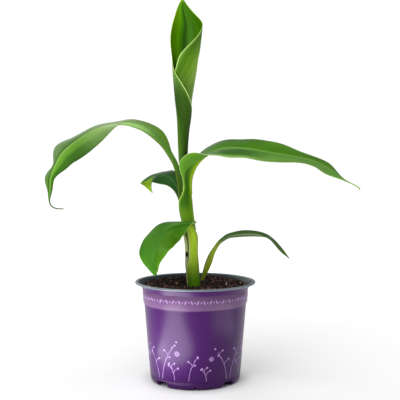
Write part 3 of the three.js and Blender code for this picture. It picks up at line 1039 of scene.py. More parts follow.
@dataclass
class PotPrint:
    """A plain print in pale lilac: dots and dashes round the band, berry sprigs and daisies."""

    panel_turns: tuple[float, ...] = (0.0, 90.0, 180.0, 270.0)
    front_y: float = -70.0  # where the flat panel is laid out
    line: float = 0.42
    lift: float = 0.07
    film: float = 0.1
    shade: str = "#9074a2"
    spot_sides: int = 14
    arc_sides: int = 72
    band_height: float = 84.2
    band_step: float = 5.9
    band_count: int = 6  # steps on each side of the middle
    band_dot: float = 0.7
    dash: float = 2.1
    dash_stretch: float = 0.34
    dash_lean: float = 28.0
    sprig_foot: float = 9.0
    sprig_bend: float = 1.5  # the stalk's radius, in heights of the sprig
    sprig_turn: float = 40.0  # degrees of that radius
    sprigs: tuple[Sprig, ...] = (
        Sprig(-31.0, 47.0, 1), Sprig(-19.0, 25.0, -1), Sprig(-6.0, 33.0, 1),
        Sprig(11.0, 21.0, -1), Sprig(30.0, 40.0, -1),
    )
    twigs: tuple[Pair, ...] = (  # share of the stalk, and reach to the right
        (0.45, 4.2), (0.62, -3.6), (0.8, 3.2), (1.0, 0.0),
    )
    berry: float = 0.9
    berry_lift: float = 0.5
    daisies: tuple[Daisy, ...] = (Daisy(-17.0, 35.0, 3.0), Daisy(15.5, 30.0, 2.6))
    petals: int = 8
    petal_reach: float = 0.62  # shares of the daisy's size
    petal: float = 0.36
    petal_stretch: float = 0.45
    eye: float = 0.18
    parts: list[Workpiece] = field(default_factory=list)

    def build(self, pot: Workpiece) -> None:
        """Models one flat panel, lays it on the pot and copies it round."""
        self.add_band()
        for sprig in self.sprigs:
            self.add_sprig(sprig)
        for daisy in self.daisies:
            self.add_daisy(daisy)
        panel = join_all("pot_print", self.parts)
        panel.modify("SHRINKWRAP", target=pot.object, wrap_method="PROJECT", use_project_y=True,
                     use_positive_direction=True, use_negative_direction=False,
                     wrap_mode="ABOVE_SURFACE", offset=self.lift * MM)
        panel.modify("SOLIDIFY", thickness=self.film * MM, offset=0)
        copies = [panel.copy("pot_print_part", turn) for turn in self.panel_turns[1:]]
        panel.join(copies)
        panel.face_outwards()
        panel.dress(PlasticFinish("print_ink", self.shade, roughness=0.5).material())
        panel.fit("pot_plastic")

    def flat(self, x: float, z: float) -> Triple:
        """A place on the flat panel, in metres."""
        return (x * MM, self.front_y * MM, z * MM)

    def add_dot(self, x: float, z: float, radius: float, stretch: float = 1.0,
                turn: float = 0.0) -> None:
        """Adds a filled round or long spot."""
        spot = Workpiece("print_spot", Primitive.CIRCLE, vertices=self.spot_sides,
                         radius=radius * MM, fill_type=Fill.FACE.value, location=self.flat(x, z),
                         rotation=(math.radians(90), math.radians(turn), 0))
        spot.object.scale = (1.0, stretch, 1.0)
        spot.apply_place()
        self.parts.append(spot)

    def add_arc(self, x: float, z: float, radius: float, start: float, end: float) -> None:
        """Adds a thin line along an arc, by angles from +X towards +Z."""
        centre = Vector(self.flat(x, z))
        line = Workpiece("print_line", Primitive.CIRCLE, vertices=self.arc_sides,
                         radius=radius * MM, fill_type=Fill.NONE.value, location=self.flat(x, z),
                         rotation=(math.radians(90), 0, 0))
        line.apply_place()

        def beyond(point: Vector) -> bool:
            """Whether a point of the circle lies outside the arc."""
            angle = math.degrees(math.atan2(point.z - centre.z, point.x - centre.x)) % 360
            return not start <= angle <= end

        with line.editing() as mesh:
            line.select_points(mesh, beyond)
            bpy.ops.mesh.delete(type="VERT")
            line.select_all()
            bpy.ops.mesh.extrude_region_move()
            shrink = (radius - self.line) / radius
            bpy.ops.transform.resize(value=(shrink, 1, shrink), center_override=centre)
        self.parts.append(line)

    def add_sprig(self, sprig: Sprig) -> None:
        """Adds a leaning stalk with round berries on short stems, bending to one side."""
        radius = (sprig.top - self.sprig_foot) * self.sprig_bend
        centre = sprig.x + sprig.side * radius
        start, turn = (180.0, -self.sprig_turn) if sprig.side > 0 else (0.0, self.sprig_turn)
        self.add_arc(centre, self.sprig_foot, radius, *sorted((start, start + turn)))
        for share, twig in self.twigs:
            angle = math.radians(start + turn * share)
            x = centre + radius * math.cos(angle) + twig
            z = self.sprig_foot + radius * math.sin(angle)
            if twig:
                self.add_arc(x, z, abs(twig), *((90.0, 180.0) if twig > 0 else (0.0, 90.0)))
            self.add_dot(x, z + abs(twig) + self.berry_lift, self.berry)

    def add_daisy(self, daisy: Daisy) -> None:
        """Adds a plain daisy, its petals round its eye."""
        reach = daisy.size * self.petal_reach
        for i in range(self.petals):
            angle = 2 * math.pi * i / self.petals
            self.add_dot(daisy.x + reach * math.cos(angle), daisy.z + reach * math.sin(angle),
                         daisy.size * self.petal, self.petal_stretch, -math.degrees(angle))
        self.add_dot(daisy.x, daisy.z, daisy.size * self.eye)

    def add_band(self) -> None:
        """Adds the row of dots and dashes that fills one panel of the band."""
        for i in range(-self.band_count, self.band_count + 1):
            x = i * self.band_step
            self.add_dot(x, self.band_height, self.band_dot)
            if i < self.band_count:
                self.add_dot(x + self.band_step / 2, self.band_height, self.dash,
                             self.dash_stretch, 90 + self.dash_lean * (-1) ** i)


@dataclass(frozen=True)
class Crumbs:
    """One kind of loose crumb: its shades, how densely its copies lie and how large they are."""

    name: str
    dark: str
    light: str
    density: float  # crumbs for each square millimetre
    scales: Pair  # the least and the greatest
    seed: int  # for their places, turns and scales


@dataclass
class Soil:
    """Crumbly potting soil: a rough bed that fills the pot, with loose crumbs on it."""

    corners: tuple[Pair, ...] = (
        (47.0, 84.0), (50.4, 90.4), (51.3, 92.2), (49.5, 93.4), (46.0, 94.0), (41.0, 94.3),
        (36.0, 94.4), (31.0, 94.4), (26.0, 94.1), (21.0, 93.6), (16.0, 93.0), (11.0, 92.2),
        (6.0, 92.0), (2.0, 92.0),
    )
    sides: int = 64
    tilt: float = 0.02  # rise for each millimetre towards the back
    rim_height: float = 92.2  # where the tilt leaves the bed in the middle of the pot
    top_radius: float = 49.8  # how far out crumbs lie
    top_foot: float = 90.4  # and the lowest that they lie
    lumps: tuple[Pair, ...] = ((7.0, 1.4), (2.2, 1.3))  # size and height
    crumb_radius: float = 1.0
    crumb_shape: Triple = (1.0, 0.78, 0.62)
    crumb_rough: float = 0.16
    crumb_faces: float = 0.45  # share of the ball's faces that are kept
    crumbs: tuple[Crumbs, ...] = (
        Crumbs("soil_crumbs_dark", "#0a0505", "#261612", 0.12, (0.9, 2.1), 3),
        Crumbs("soil_crumbs_brown", "#38201a", "#7c564a", 0.055, (0.7, 1.7), 11),
        Crumbs("soil_crumbs_pale", "#a88880", "#ecd4ce", 0.014, (0.4, 0.95), 29),
    )

    def build(self) -> None:
        """Models the bed, then scatters the crumbs on a copy of its top.

        Extruding leaves faces in no set order. The copy's are sorted, so that crumbs lie the same
        on each run.
        """
        bed = self.bed()
        top = bed.copy("soil_top")
        with top.editing() as mesh:
            reach, low = self.top_radius * MM, self.top_foot * MM
            top.select_points(mesh, lambda p: p.xy.length > reach or p.z < low)
            bpy.ops.mesh.delete(type="VERT")
            mesh.faces.sort(key=lambda face: face.calc_center_median().dot(SLANT))
        bed.shade_smooth(angle=60.0)
        bed.dress(SoilFinish("soil_bed", "#060303", "#1f1411").material())
        bed.fit("potting_soil", "soil")
        for kind in self.crumbs:
            crumbs = self.scatter(top, kind)
            crumbs.dress(SoilFinish(kind.name + "_finish", kind.dark, kind.light).material())
            crumbs.fit("potting_soil")
        top.remove()

    def bed(self) -> Workpiece:
        """The soil's body, with a low bank round its top, tilted and roughened."""
        bed = turned("soil_bed", self.sides, self.corners)
        bed.object.rotation_euler.x = math.atan(self.tilt)
        bed.object.location.y = self.tilt * self.rim_height * MM
        bed.apply_place()
        bed.modify("SUBSURF", levels=2, render_levels=2, subdivision_type="SIMPLE")
        for size, height in self.lumps:
            clouds = bpy.data.textures.new("soil_clouds", "CLOUDS")
            clouds.noise_scale = size * MM
            bed.modify("DISPLACE", texture=clouds, strength=height * MM, mid_level=0.5,
                       direction="Z")
        return bed

    def scatter(self, top: Workpiece, kind: Crumbs) -> Workpiece:
        """Scatters copies of one rough crumb over the soil.

        Args:
            top: the surface that they lie on.
            kind: the kind of crumb.

        Returns:
            The crumbs as one piece.
        """
        crumb = Workpiece("crumb", Primitive.BALL, subdivisions=2, radius=self.crumb_radius * MM)
        with crumb.editing():
            crumb.select_all()
            bpy.ops.transform.resize(value=self.crumb_shape, center_override=(0, 0, 0))
            bpy.ops.transform.vertex_random(offset=self.crumb_rough * MM, seed=kind.seed)
        crumb.modify("DECIMATE", ratio=self.crumb_faces)
        crumbs = top.copy(kind.name)
        group = bpy.data.node_groups.new(kind.name, "GeometryNodeTree")
        for side in ("INPUT", "OUTPUT"):
            group.interface.new_socket("Geometry", in_out=side,
                                       socket_type="NodeSocketGeometry")
        recipe = Recipe(group)
        surface = recipe.add("NodeGroupInput")
        points = recipe.add("GeometryNodeDistributePointsOnFaces", None,
                            {"Mesh": surface, "Density": kind.density / MM ** 2,
                             "Seed": kind.seed})
        shape = recipe.add("GeometryNodeObjectInfo", None, {"Object": crumb.object}, "Geometry")
        turn = recipe.add("FunctionNodeRandomValue", {"data_type": "FLOAT_VECTOR"},
                          {1: (2 * math.pi,) * 3, "Seed": kind.seed + 1})
        least, greatest = kind.scales
        scale = recipe.add("FunctionNodeRandomValue", {"data_type": "FLOAT"},
                           {2: least, 3: greatest, "Seed": kind.seed + 2}, 1)
        placed = recipe.add("GeometryNodeInstanceOnPoints", None,
                            {"Points": points, "Instance": shape, "Rotation": turn,
                             "Scale": scale})
        joined = recipe.add("GeometryNodeRealizeInstances", None, {0: placed})
        recipe.add("NodeGroupOutput", None, {0: joined})
        crumbs.modify("NODES", node_group=group)
        crumb.remove()
        return crumbs


class Sheet:
    """A thin living sheet, such as a blade or a sheath: a grid of points with a thickness."""

    columns: int
    rows: int
    levels: int = 2  # of subdivision
    crisp: float = 65.0  # degrees, for an edge that stays crisp

    def point(self, column: int, row: int) -> Vector:
        """The place of a point, in millimetres."""
        raise NotImplementedError

    def thickness(self, column: int, row: int) -> float:
        """The sheet's thickness at a point, in millimetres."""
        raise NotImplementedError

    def make(self, name: str, upper: BladeFace, under: BladeFace) -> Workpiece:
        """Models the sheet.

        Args:
            name: the piece's name.
            upper: finish of the face that the grid's faces look out of.
            under: finish of the other face.

        Returns:
            The finished piece.
        """
        sheet = Workpiece(name, Primitive.GRID, x_subdivisions=self.columns,
                          y_subdivisions=self.rows, size=1)
        stops = [(column, row) for row in range(self.rows + 1)
                 for column in range(self.columns + 1)]
        sheet.place_points([self.point(*stop) * MM for stop in stops])
        walls = [self.thickness(*stop) for stop in stops]
        greatest = max(walls)
        group = sheet.object.vertex_groups.new(name=WALL_GROUP)
        for index, wall in enumerate(walls):
            group.add([index], wall / greatest, "REPLACE")
        sheet.subdivide(self.levels)
        sheet.dress(upper.material(), under.material())
        sheet.modify("SOLIDIFY", thickness=greatest * MM, offset=-1, vertex_group=WALL_GROUP,
                     use_rim=True, material_offset=1)
        sheet.shade_smooth(self.crisp)
        return sheet


STEM_RINGS = (
    Ring(90.5, -0.9, -1, 6.6), Ring(101, -2.1, -1, 6.8), Ring(114, -3.1, -1, 6.8),
    Ring(127, -3.6, -1, 6.2), Ring(140, -4, -1, 6.9), Ring(150, -6.2, -1, 6.9),
    Ring(158, -7.4, -1, 6.6), Ring(171, -9.4, -1, 7.4), Ring(181, -9.9, -1, 6.6),
    Ring(184, -9.9, -1, 4.4), Ring(190, -10, -1, 3.8),
)


@dataclass
class StemCore:
    """The inner stem: a solid a little inside the stem's sections."""

    sides: int = 24
    inset: float = 1.15

    def build(self) -> None:
        """Models, dresses and fits the core."""
        rings = [ring._replace(radius=ring.radius - self.inset) for ring in STEM_RINGS]
        core = lofted("stem_core", self.sides, rings)
        core.subdivide(levels=2)
        core.shade_smooth(angle=60.0)
        core.dress(StemFinish("stem_flesh", "#3a5c04", "#5d7a10", 116, 12).material())
        core.fit("stem_green", "pseudostem")


class Span(NamedTuple):
    """How far a sheath reaches round the stem at a height, in degrees from the front."""

    z: float
    start: float
    end: float
    swell: float = 0.0


@dataclass
class Sheath(Sheet):
    """A leaf sheath that wraps the lower stem from one angle round to another."""

    spans: Sequence[Span] = ()
    columns: int = 16
    rows: int = 18
    wall: float = 1.0
    margin_wall: float = 0.5
    thin_from: float = 0.6  # share of the way to a margin, where the wall thins

    def point(self, column: int, row: int) -> Vector:
        """The place of a point of the inner face, in millimetres."""
        place = row / self.rows * (len(self.spans) - 1)
        z, start, end, swell = smooth_row(self.spans, place)
        _, x, y, radius = row_at_height(STEM_RINGS, z)
        share = 1 - column / self.columns
        reach = radius + swell - self.thickness(column, row)
        return Vector((x, y, 0)) + polar(reach, FRONT + start + (end - start) * share, z)

    def thickness(self, column: int, row: int) -> float:
        """Thinner at the margins."""
        share = abs(column / self.columns - 0.5) * 2
        thin = clamp((share - self.thin_from) / (1 - self.thin_from))
        return self.wall + (self.margin_wall - self.wall) * thin


class Station(NamedTuple):
    """The rib's place, then width and fold of the left and right half, and the halves' curl."""

    x: float
    y: float
    z: float
    left: float
    left_fold: float
    right: float
    right_fold: float
    curl: float = 0.0


def wrapped(ring: Ring, heading: float, wall: float, turn: float) -> Station:
    """The station of a leaf whose foot is rolled round the stem.

    Args:
        ring: the stem's section there.
        heading: azimuth of the leaf's rib on the stem.
        wall: thickness of the leaf's foot.
        turn: how far each half reaches round, in degrees.

    Returns:
        The station of the leaf at that height.
    """
    radius = ring.radius - wall
    rib = Vector((ring.x, ring.y, 0)) + polar(radius, heading, ring.z)
    width = radius * math.radians(turn)
    return Station(*rib, width, turn / 2, width, turn / 2, turn)


@dataclass
class Leaf(Sheet):
    """A leaf: a rib with a half on each side, from its stalk to its tip."""

    name: str
    heading: float
    keel: float  # wall of the rib at the foot
    stations: Sequence[Station]
    nodes: tuple[str, ...]
    slot: str = "leaf_green"
    sheath_until: float = -1.0  # stations below this are a rolled sheath
    sheath_wall: float = 0.8
    arch: float = 0.07
    ripple: float = 0.5
    waves: tuple[Pair, ...] = ((2.3, 1.0), (4.1, 0.6))  # pace and height
    least_width: float = 0.5
    flat_width: float = 6.0  # a half this narrow neither arches nor ripples
    ripple_width: float = 8.0  # further width until it ripples fully
    blade_wall: float = 0.45
    stalk_wall: float = 1.2
    blade_width: float = 9.0  # a half this wide has the blade's wall
    stalk_step: float = 5.0  # less width until it has the stalk's wall
    tip_wall: float = 0.3
    tip_rise: float = 1.4  # wall for each millimetre of width at a tip
    rib_shares: tuple[float, ...] = (1.0, 0.72, 0.12)  # of the rib's wall, outwards
    rib_least: float = 0.3
    rib_spare: float = 0.6
    rib_taper: float = 0.7
    margin_share: float = 0.75
    rib_half: float = 1.0
    rib_foot: float = 2.2
    edge: float = 0.9
    narrow: Triple = (0.28, 0.5, 0.86)  # their places in a narrow half
    columns: int = 12
    steps: int = 2  # rows between two stations
    flat_curl: float = 0.01  # radians
    still_curl: float = 0.5  # radians, from here on nothing ripples

    @property
    def rows(self) -> int:
        """Rows of the grid along the leaf."""
        return (len(self.stations) - 1) * self.steps

    def axes(self, place: float) -> tuple[Vector, Vector, Vector, Station]:
        """The rib's place, the directions to the left and up from the face, and the station."""
        step = 0.02
        station = Station(*smooth_row(self.stations, place))
        ahead, behind = (Vector(smooth_row(self.stations, place + way)[:3])
                         for way in (step, -step))
        along = (ahead - behind).normalized()
        left = polar(1.0, self.heading + 90, 0)
        left = (left - along * left.dot(along)).normalized()
        return Vector(station[:3]), left, along.cross(left), station

    def reaches(self, width: float) -> list[float]:
        """Distances of the grid's lines from the rib, out to the margin."""
        near, crease, edge = (share * width for share in self.narrow)
        near = min(self.rib_half, near)
        crease = min(self.rib_foot, crease)
        edge = max(width - self.edge, edge)
        step = (edge - crease) / 3
        return [0.0, near, crease, crease + step, crease + 2 * step, edge, width]

    def point(self, column: int, row: int) -> Vector:
        """The place of a point of the upper face, in millimetres."""
        place = row / self.steps
        origin, left, up, station = self.axes(place)
        middle = self.columns // 2
        side = 1 if column < middle else -1
        width = max(station.left if side > 0 else station.right, self.least_width)
        fold = math.radians(station.left_fold if side > 0 else station.right_fold)
        curl = math.radians(station.curl)
        reach = self.reaches(width)[abs(column - middle)]
        share = reach / width
        if abs(curl) < self.flat_curl:
            across, rise = reach * math.cos(fold), reach * math.sin(fold)
        else:
            start, radius = fold - curl / 2, width / curl
            across = radius * (math.sin(start + curl * share) - math.sin(start))
            rise = radius * (math.cos(start) - math.cos(start + curl * share))
        lift = self.wave(place, side, share, width) * (curl < self.still_curl)
        if place >= self.sheath_until:
            lift += self.arch * max(width - self.flat_width, 0) * math.sin(math.pi * share)
        across -= lift * math.sin(fold)
        rise += lift * math.cos(fold)
        return origin + left * (side * across) + up * rise

    def wave(self, place: float, side: int, share: float, width: float) -> float:
        """How far the ripple lifts a half, which grows towards its margin."""
        lift = sum(height * math.sin(place * pace + number * side)
                   for number, (pace, height) in enumerate(self.waves, 1))
        return self.ripple * lift * share ** 3 * clamp((width - self.flat_width)
                                                       / self.ripple_width)

    def thickness(self, column: int, row: int) -> float:
        """Thick at the rib and the stalk, thin in the blade."""
        place = row / self.steps
        if place < self.sheath_until:
            return self.sheath_wall
        station = Station(*smooth_row(self.stations, place))
        middle = self.columns // 2
        width = max(station.left if column < middle else station.right, self.least_width)
        stalk = clamp((self.blade_width - width) / self.stalk_step)
        wall = self.blade_wall + (self.stalk_wall - self.blade_wall) * stalk
        wall = min(wall, self.tip_wall + self.tip_rise * width)
        taper = 1 - self.rib_taper * place / (len(self.stations) - 1)
        rib_wall = min(self.keel * taper + self.rib_least, self.rib_spare + width)
        steps_out = abs(column - middle)
        if steps_out < len(self.rib_shares):
            wall += (max(wall, rib_wall) - wall) * self.rib_shares[steps_out]
        return wall * (self.margin_share if steps_out == middle else 1.0)

    def build(self, upper: BladeFace, under: BladeFace) -> None:
        """Models, dresses and fits the leaf."""
        self.make(self.name, upper, under).fit(self.slot, *self.nodes)


class RollRow(NamedTuple):
    """A level section of the rolled leaf: centre, radius and the angles of its two margins."""

    z: float
    x: float
    y: float
    radius: float
    left: float
    right: float


@dataclass
class Spear(Sheet):
    """The young leaf that is still rolled, opening into a funnel with its rib at the back."""

    stations: Sequence[RollRow]
    columns: int = 34
    steps: int = 2
    wall: float = 0.55
    margin_from: float = 0.9  # share of the way to a margin, where the wall thins
    margin_thin: float = 0.35
    pitch: float = 1.25  # how much nearer the axis each turn lies
    least_radius: float = 0.6
    open_from: float = 296.0
    open_to: float = 322.0
    rib_angle: float = -172.0  # where the rib stands once the leaf is open

    @property
    def rows(self) -> int:
        """Rows of the grid up the leaf."""
        return (len(self.stations) - 1) * self.steps

    def point(self, column: int, row: int) -> Vector:
        """The place of a point of the inner face, in millimetres."""
        ring = RollRow(*smooth_row(self.stations, row / self.steps))
        closed = 1 - clamp((ring.z - self.open_from) / (self.open_to - self.open_from))
        right = ring.right - 360
        rib = self.rib_angle + ((ring.left + right) / 2 - self.rib_angle) * closed
        share = column / self.columns * 2
        if share < 1:
            angle = ring.left + (rib - ring.left) * share
        else:
            angle = rib + (right - rib) * (share - 1)
        turns = (ring.left - angle) / 360
        reach = ring.radius - self.thickness(column, row) - self.pitch * closed * turns
        return (Vector((ring.x, ring.y, 0))
                + polar(max(reach, self.least_radius), FRONT + angle, ring.z))

    def thickness(self, column: int, row: int) -> float:
        """Even, with thin margins."""
        share = abs(column / self.columns - 0.5) * 2
        thin = clamp((share - self.margin_from) / (1 - self.margin_from))
        return self.wall * (1 - self.margin_thin * thin)


def left_leaf() -> Leaf:
    """The long leaf that arches over to the left, its tip curled under."""
    rows = [
        (-12.6, -0.6, 168, 3, 58, 3, 58), (-15, -1, 182, 3.4, 58, 3.4, 58),
        (-16.2, -1, 192.5, 4, 58, 4, 58), (-19.4, -2, 210.5, 4.4, 56, 4.6, 58),
        (-25.6, -3, 222, 5.6, 40, 6, 38), (-31.9, -4, 231.4, 9, 29, 12, 46),
        (-40.1, -5.3, 239.3, 11.7, 26, 17, 46), (-50.6, -7, 247.2, 14.5, 21, 17, 34),
        (-62.4, -9, 251.8, 17, 10, 18.4, 28), (-74.8, -11, 253.8, 19, -2, 19, 10),
        (-96.2, -15, 249.5, 20.5, -42, 20, 12), (-115, -20, 238.6, 21, -62, 21, 13),
        (-129.2, -25, 225.8, 18.6, -66, 20.5, 28), (-135.4, -28, 213.2, 14.5, -60, 12, 5),
        (-139.9, -30, 200.6, 7.4, -44, 8, 42),
        (-139.7, -31.5, 188.7, 4.4, -45, 3.4, 30), (-140, -32, 179.1, 0.7, -40, 0.7, 20),
        (-138.2, -32, 173.4, 0.6, 0, 0.6, 0), (-133.4, -32, 170.5, 0.6, 0, 0.6, 0),
        (-125.7, -32, 170.1, 0.6, 0, 0.6, 0),
    ]
    return Leaf(name="left_leaf", heading=187, keel=1.9, stations=[Station(*r) for r in rows],
                nodes=("left_leaf_inner", "left_leaf_outer"))


def right_leaf() -> Leaf:
    """The long leaf that reaches to the right, its foot rolled round the upper stem."""
    heading = -8.0
    wall = 0.8
    rings = [
        Ring(148, -5.8, -1, 6.8), Ring(158, -7.4, -1, 6.6), Ring(168, -9.2, -1, 7.2),
        Ring(178, -9.8, -1, 7.0),
    ]
    foot = [wrapped(ring, heading, wall, turn) for ring, turn in zip(rings, (176, 176, 176, 168))]
    rows = [
        (-4.75, -1.7, 184.5, 10, 58, 11, 60, 116), (-5, -1, 190, 7.5, 50, 8.8, 52, 95),
        (-4.4, -1.5, 199, 9, 54, 10, 58, 80), (-1.6, -2, 207.8, 12, 56, 18.6, 62, 76),
        (3.3, -3, 215.7, 12.4, 34, 17.4, 51, 46), (12, -4, 223.4, 18, 25, 19, -3),
        (24.6, -6, 228.6, 20.6, 30, 20.5, -20), (39.4, -9, 229.8, 22, 24, 22, -27),
        (54.2, -11, 228.2, 23, 30, 22.5, -25), (69, -13, 225.6, 23, 33, 22.5, -25),
        (88.5, -16, 222.6, 21, 27, 20.5, -21), (108, -18, 219, 16, 20, 16.5, -19),
        (120.3, -20, 215.1, 12.5, 22, 13, -24), (131.6, -22, 208, 8.5, 30, 9, -44),
        (144, -23, 198.7, 0.9, 20, 0.9, -30), (157, -25, 192.6, 0.6, 0, 0.6, 0),
        (159.6, -25, 189, 0.6, 0, 0.6, 0),
    ]
    return Leaf(name="right_leaf", heading=heading, keel=1.9,
                stations=foot + [Station(*r) for r in rows], sheath_until=3.6,
                nodes=("right_leaf_inner", "right_leaf_outer"))


def back_leaf() -> Leaf:
    """The short dark leaf behind the stem, with a hanging flap near its tip."""
    rows = [
        (-12.5, 0, 168, 2.4, 20, 2.4, 20), (-15.9, 3, 180, 2.6, 20, 2.6, 20),
        (-19.3, 8, 191.9, 6, -30, 6, 30), (-25.3, 13, 200.4, 11, -50, 12, 27),
        (-34.8, 19, 204, 14, -36, 15, 14), (-41, 24, 204.4, 14, -46, 14, 10),
        (-46.8, 27.6, 202.8, 20, -75, 11, 6), (-50.6, 30, 200.6, 18.5, -76, 8, 2),
        (-54.4, 32, 198, 9.5, -70, 4, 0), (-57.8, 34, 194.6, 0.7, 0, 0.7, 0),
    ]
    return Leaf(name="back_leaf", heading=143, keel=1.4, stations=[Station(*r) for r in rows],
                nodes=("back_leaf",), slot="dark_leaf")


def lower_leaf() -> Leaf:
    """The broad lower leaf that hangs in front of the stem, to its left."""
    rows = [
        (0.4, -6.6, 157, 0.9, 50, 0.9, 50), (-3.2, -8.8, 155.5, 2.6, 40, 2.6, 40),
        (-12, -13, 154.9, 9.5, -50, 6, 18), (-21.8, -17.5, 153.2, 15.8, -52, 12, 12),
        (-28.4, -21, 148.6, 15.8, -46, 15, 5), (-33, -24, 141, 16, -20, 19.5, 2),
        (-36, -26, 133.2, 17.5, 4, 20, 8), (-37.6, -28, 125.2, 14.4, 16, 18.5, 14),
        (-38.2, -29, 116.6, 8, 24, 13, 15), (-38.8, -30, 106.4, 0.7, 0, 0.7, 0),
    ]
    return Leaf(name="lower_leaf", heading=232, keel=1.6, stations=[Station(*r) for r in rows],
                nodes=("lower_leaf",))


def sucker_leaf() -> Leaf:
    """The small leaf that rises from the soil behind the stem and arches to the right."""
    rows = [
        (4.5, 22, 89, 2, 50, 2, 50), (7.2, 22, 94.9, 2.4, 50, 2.4, 50),
        (12.3, 22, 104.6, 5, 58, 5, 58), (16.3, 22.5, 113.4, 6.2, 58, 6.2, 58),
        (18.5, 22.5, 121, 4.8, 58, 4.8, 58), (21.8, 23, 127.8, 3.6, 50, 3.6, 50),
        (25.6, 23.5, 133, 4, 40, 4, 40), (30, 24, 136, 5.4, 30, 5.4, 30),
        (35.7, 24.5, 138.8, 8, 26, 8, 22), (50.8, 26, 139.8, 11, 29, 11, 20),
        (65.6, 27.5, 139.8, 11, 26, 11, 12), (78.1, 29, 137.6, 8.5, 14, 8.5, -14),
        (87.1, 30, 129.8, 5.6, 14, 6.2, -36), (94, 31, 122, 3, 10, 3.8, -40),
        (98, 31, 116.4, 0.7, 0, 0.7, 0),
    ]
    return Leaf(name="sucker_leaf", heading=8, keel=1.3, stations=[Station(*r) for r in rows],
                nodes=("sucker_leaf_inner", "sucker_leaf_outer"))


def build_spear() -> None:
    """Builds the rolled leaf on top."""
    rows = [
        (180, -9.9, -1, 3.6, 186, -180), (190, -10, -1, 3.8, 186, -180),
        (198, -10.8, -1, 3.9, 185, -180), (210, -12.2, -0.5, 4.7, 180, -180),
        (227, -12.6, 0, 5.6, 170, -180), (248, -12.2, 0, 6.7, 150, -180),
        (262, -11.4, 0, 8.2, 115, -175), (278, -11.7, 0, 9.6, 47, -140),
        (295, -11, 0, 11.5, -15, -98), (308, -10.4, 0, 12.7, -62, -50),
        (319, -10.1, 0, 13.3, -80, -30), (327, -9.7, 0, 14.6, -92, -2),
        (338, -9.6, 0, 15.8, -98, 40), (348, -8.8, 0.5, 16, -100, 72),
        (356, -8, 1, 15.4, -104, 95), (363, -9.3, 3, 12.6, -110, 112),
        (371, -11.6, 5.5, 8.6, -120, 125), (378, -12.6, 8.4, 4.8, -130, 140),
        (383, -12.6, 10.8, 2.2, -150, 165),
    ]
    inner = BladeFace(
        "spear_inner", even("#3f6a00", "#214604", "#305602"),
        ((0.0, "#84b002"), (0.15, "#66a200"), (0.32, "#5c9800"), (0.42, "#438000"), (0.5, "#225000"),
         (0.55, "#3c7000"), (0.72, "#3c7000"), (0.9, "#3c6c02"), (1.0, "#6c9a10")),
        meet=(0.48, 0.6), rib="#2c5e00", rib_share=0.3, edge="#a9cc3a", edge_share=0.8,
        edge_from=0.965, tip="#86b818", tip_start=0.94, shine=0.1, streak_count=9, wave_count=2)
    # its ramps paint the roll's shading into its colour: dark stops for the middle of the roll as
    # seen from the front, paler ones towards its sides
    outer = BladeFace(
        "spear_outer",
        ((0.0, "#3c6414"), (0.08, "#2f5008"), (0.22, "#254402"), (0.29, "#3c6012"),
         (0.36, "#7c9a54"), (0.58, "#8caa60"), (0.66, "#507420"), (0.78, "#2c4c04"),
         (1.0, "#2c4c04")),
        ((0.0, "#5c8828"), (0.08, "#76a050"), (0.19, "#8caa68"), (0.58, "#a0c06c"), (0.68, "#92b44e"),
         (0.76, "#759e30"), (0.84, "#557e16"), (0.93, "#406a02"), (1.0, "#5c8828")),
        meet=(0.4, 0.54), rib="#6b8c40", rib_share=0.4, edge="#b0cc78", edge_share=0.85,
        edge_from=0.965, tip="#86b818", tip_start=0.92, streak_count=14, wave_count=2, streak=0.2)
    spear = Spear(stations=[RollRow(*r) for r in rows])
    spear.make("spear_leaf_rolled", inner, outer).fit("young_leaf", "spear_leaf")


def build_stem() -> None:
    """Builds the stem's core and the sheaths round its lower part."""
    StemCore().build()
    sheath_inner = BladeFace("sheath_inner", even("#7f9e28"), even("#93ae22"))
    sheath_outer = BladeFace(
        "sheath_outer", even("#335600", "#447200", "#335600"),
        ((0.0, "#7d9a10"), (0.3, "#8aa818"), (0.55, "#9cb92a"), (0.8, "#98b624"),
         (1.0, "#a9bc48")),
        meet=(0.06, 0.5), rib_share=0.0, edge="#d9deb0", edge_share=0.75, edge_from=0.93,
        tip="#bccb84", tip_start=0.88, streak_count=9, wave_count=2, vein_count=8, streak=0.14,
        relief=0.1)
    outer = Sheath(spans=[
        Span(90.5, -75, 150), Span(100, -75, 150), Span(110, -66, 150), Span(119, -30, 150),
        Span(130, -24, 138), Span(139, -22, 104, 0.2), Span(147, -18, 64, 0.3),
        Span(153, -6, 38, 0.3), Span(157, 8, 24, 0.2),
    ])
    outer.make("outer_sheath_wrap", sheath_inner, sheath_outer).fit("sheath_green", "outer_sheath")
    dry_face = BladeFace(
        "dry_sheath_face", ((0.0, "#66703a"), (0.3, "#545c26"), (1.0, "#24261a")),
        ((0.0, "#e2e8bc"), (0.16, "#8c9a50"), (0.3, "#d0da90"), (1.0, "#b4be70")),
        meet=(0.3, 0.55), rib_share=0.0, edge="#c8d4a0", edge_share=0.8, edge_from=0.88,
        tip="#b9b394", tip_start=0.9, streak_count=8, wave_count=2, vein_count=8, streak=0.3,
        roughness=0.75, scar=(-9.4, -4.8, 124.2))
    dry = Sheath(spans=[
        Span(91, -152, -66, 0.15), Span(104, -150, -60, 0.25), Span(118, -150, -44, 0.3),
        Span(132, -146, -38, 0.3), Span(141, -132, -44, 0.5), Span(147, -112, -60, 1.0),
    ], columns=10, rows=14, wall=0.6, margin_wall=0.4)
    dry.make("dry_sheath_wrap", dry_face, dry_face).fit("dry_sheath", "dry_sheath")


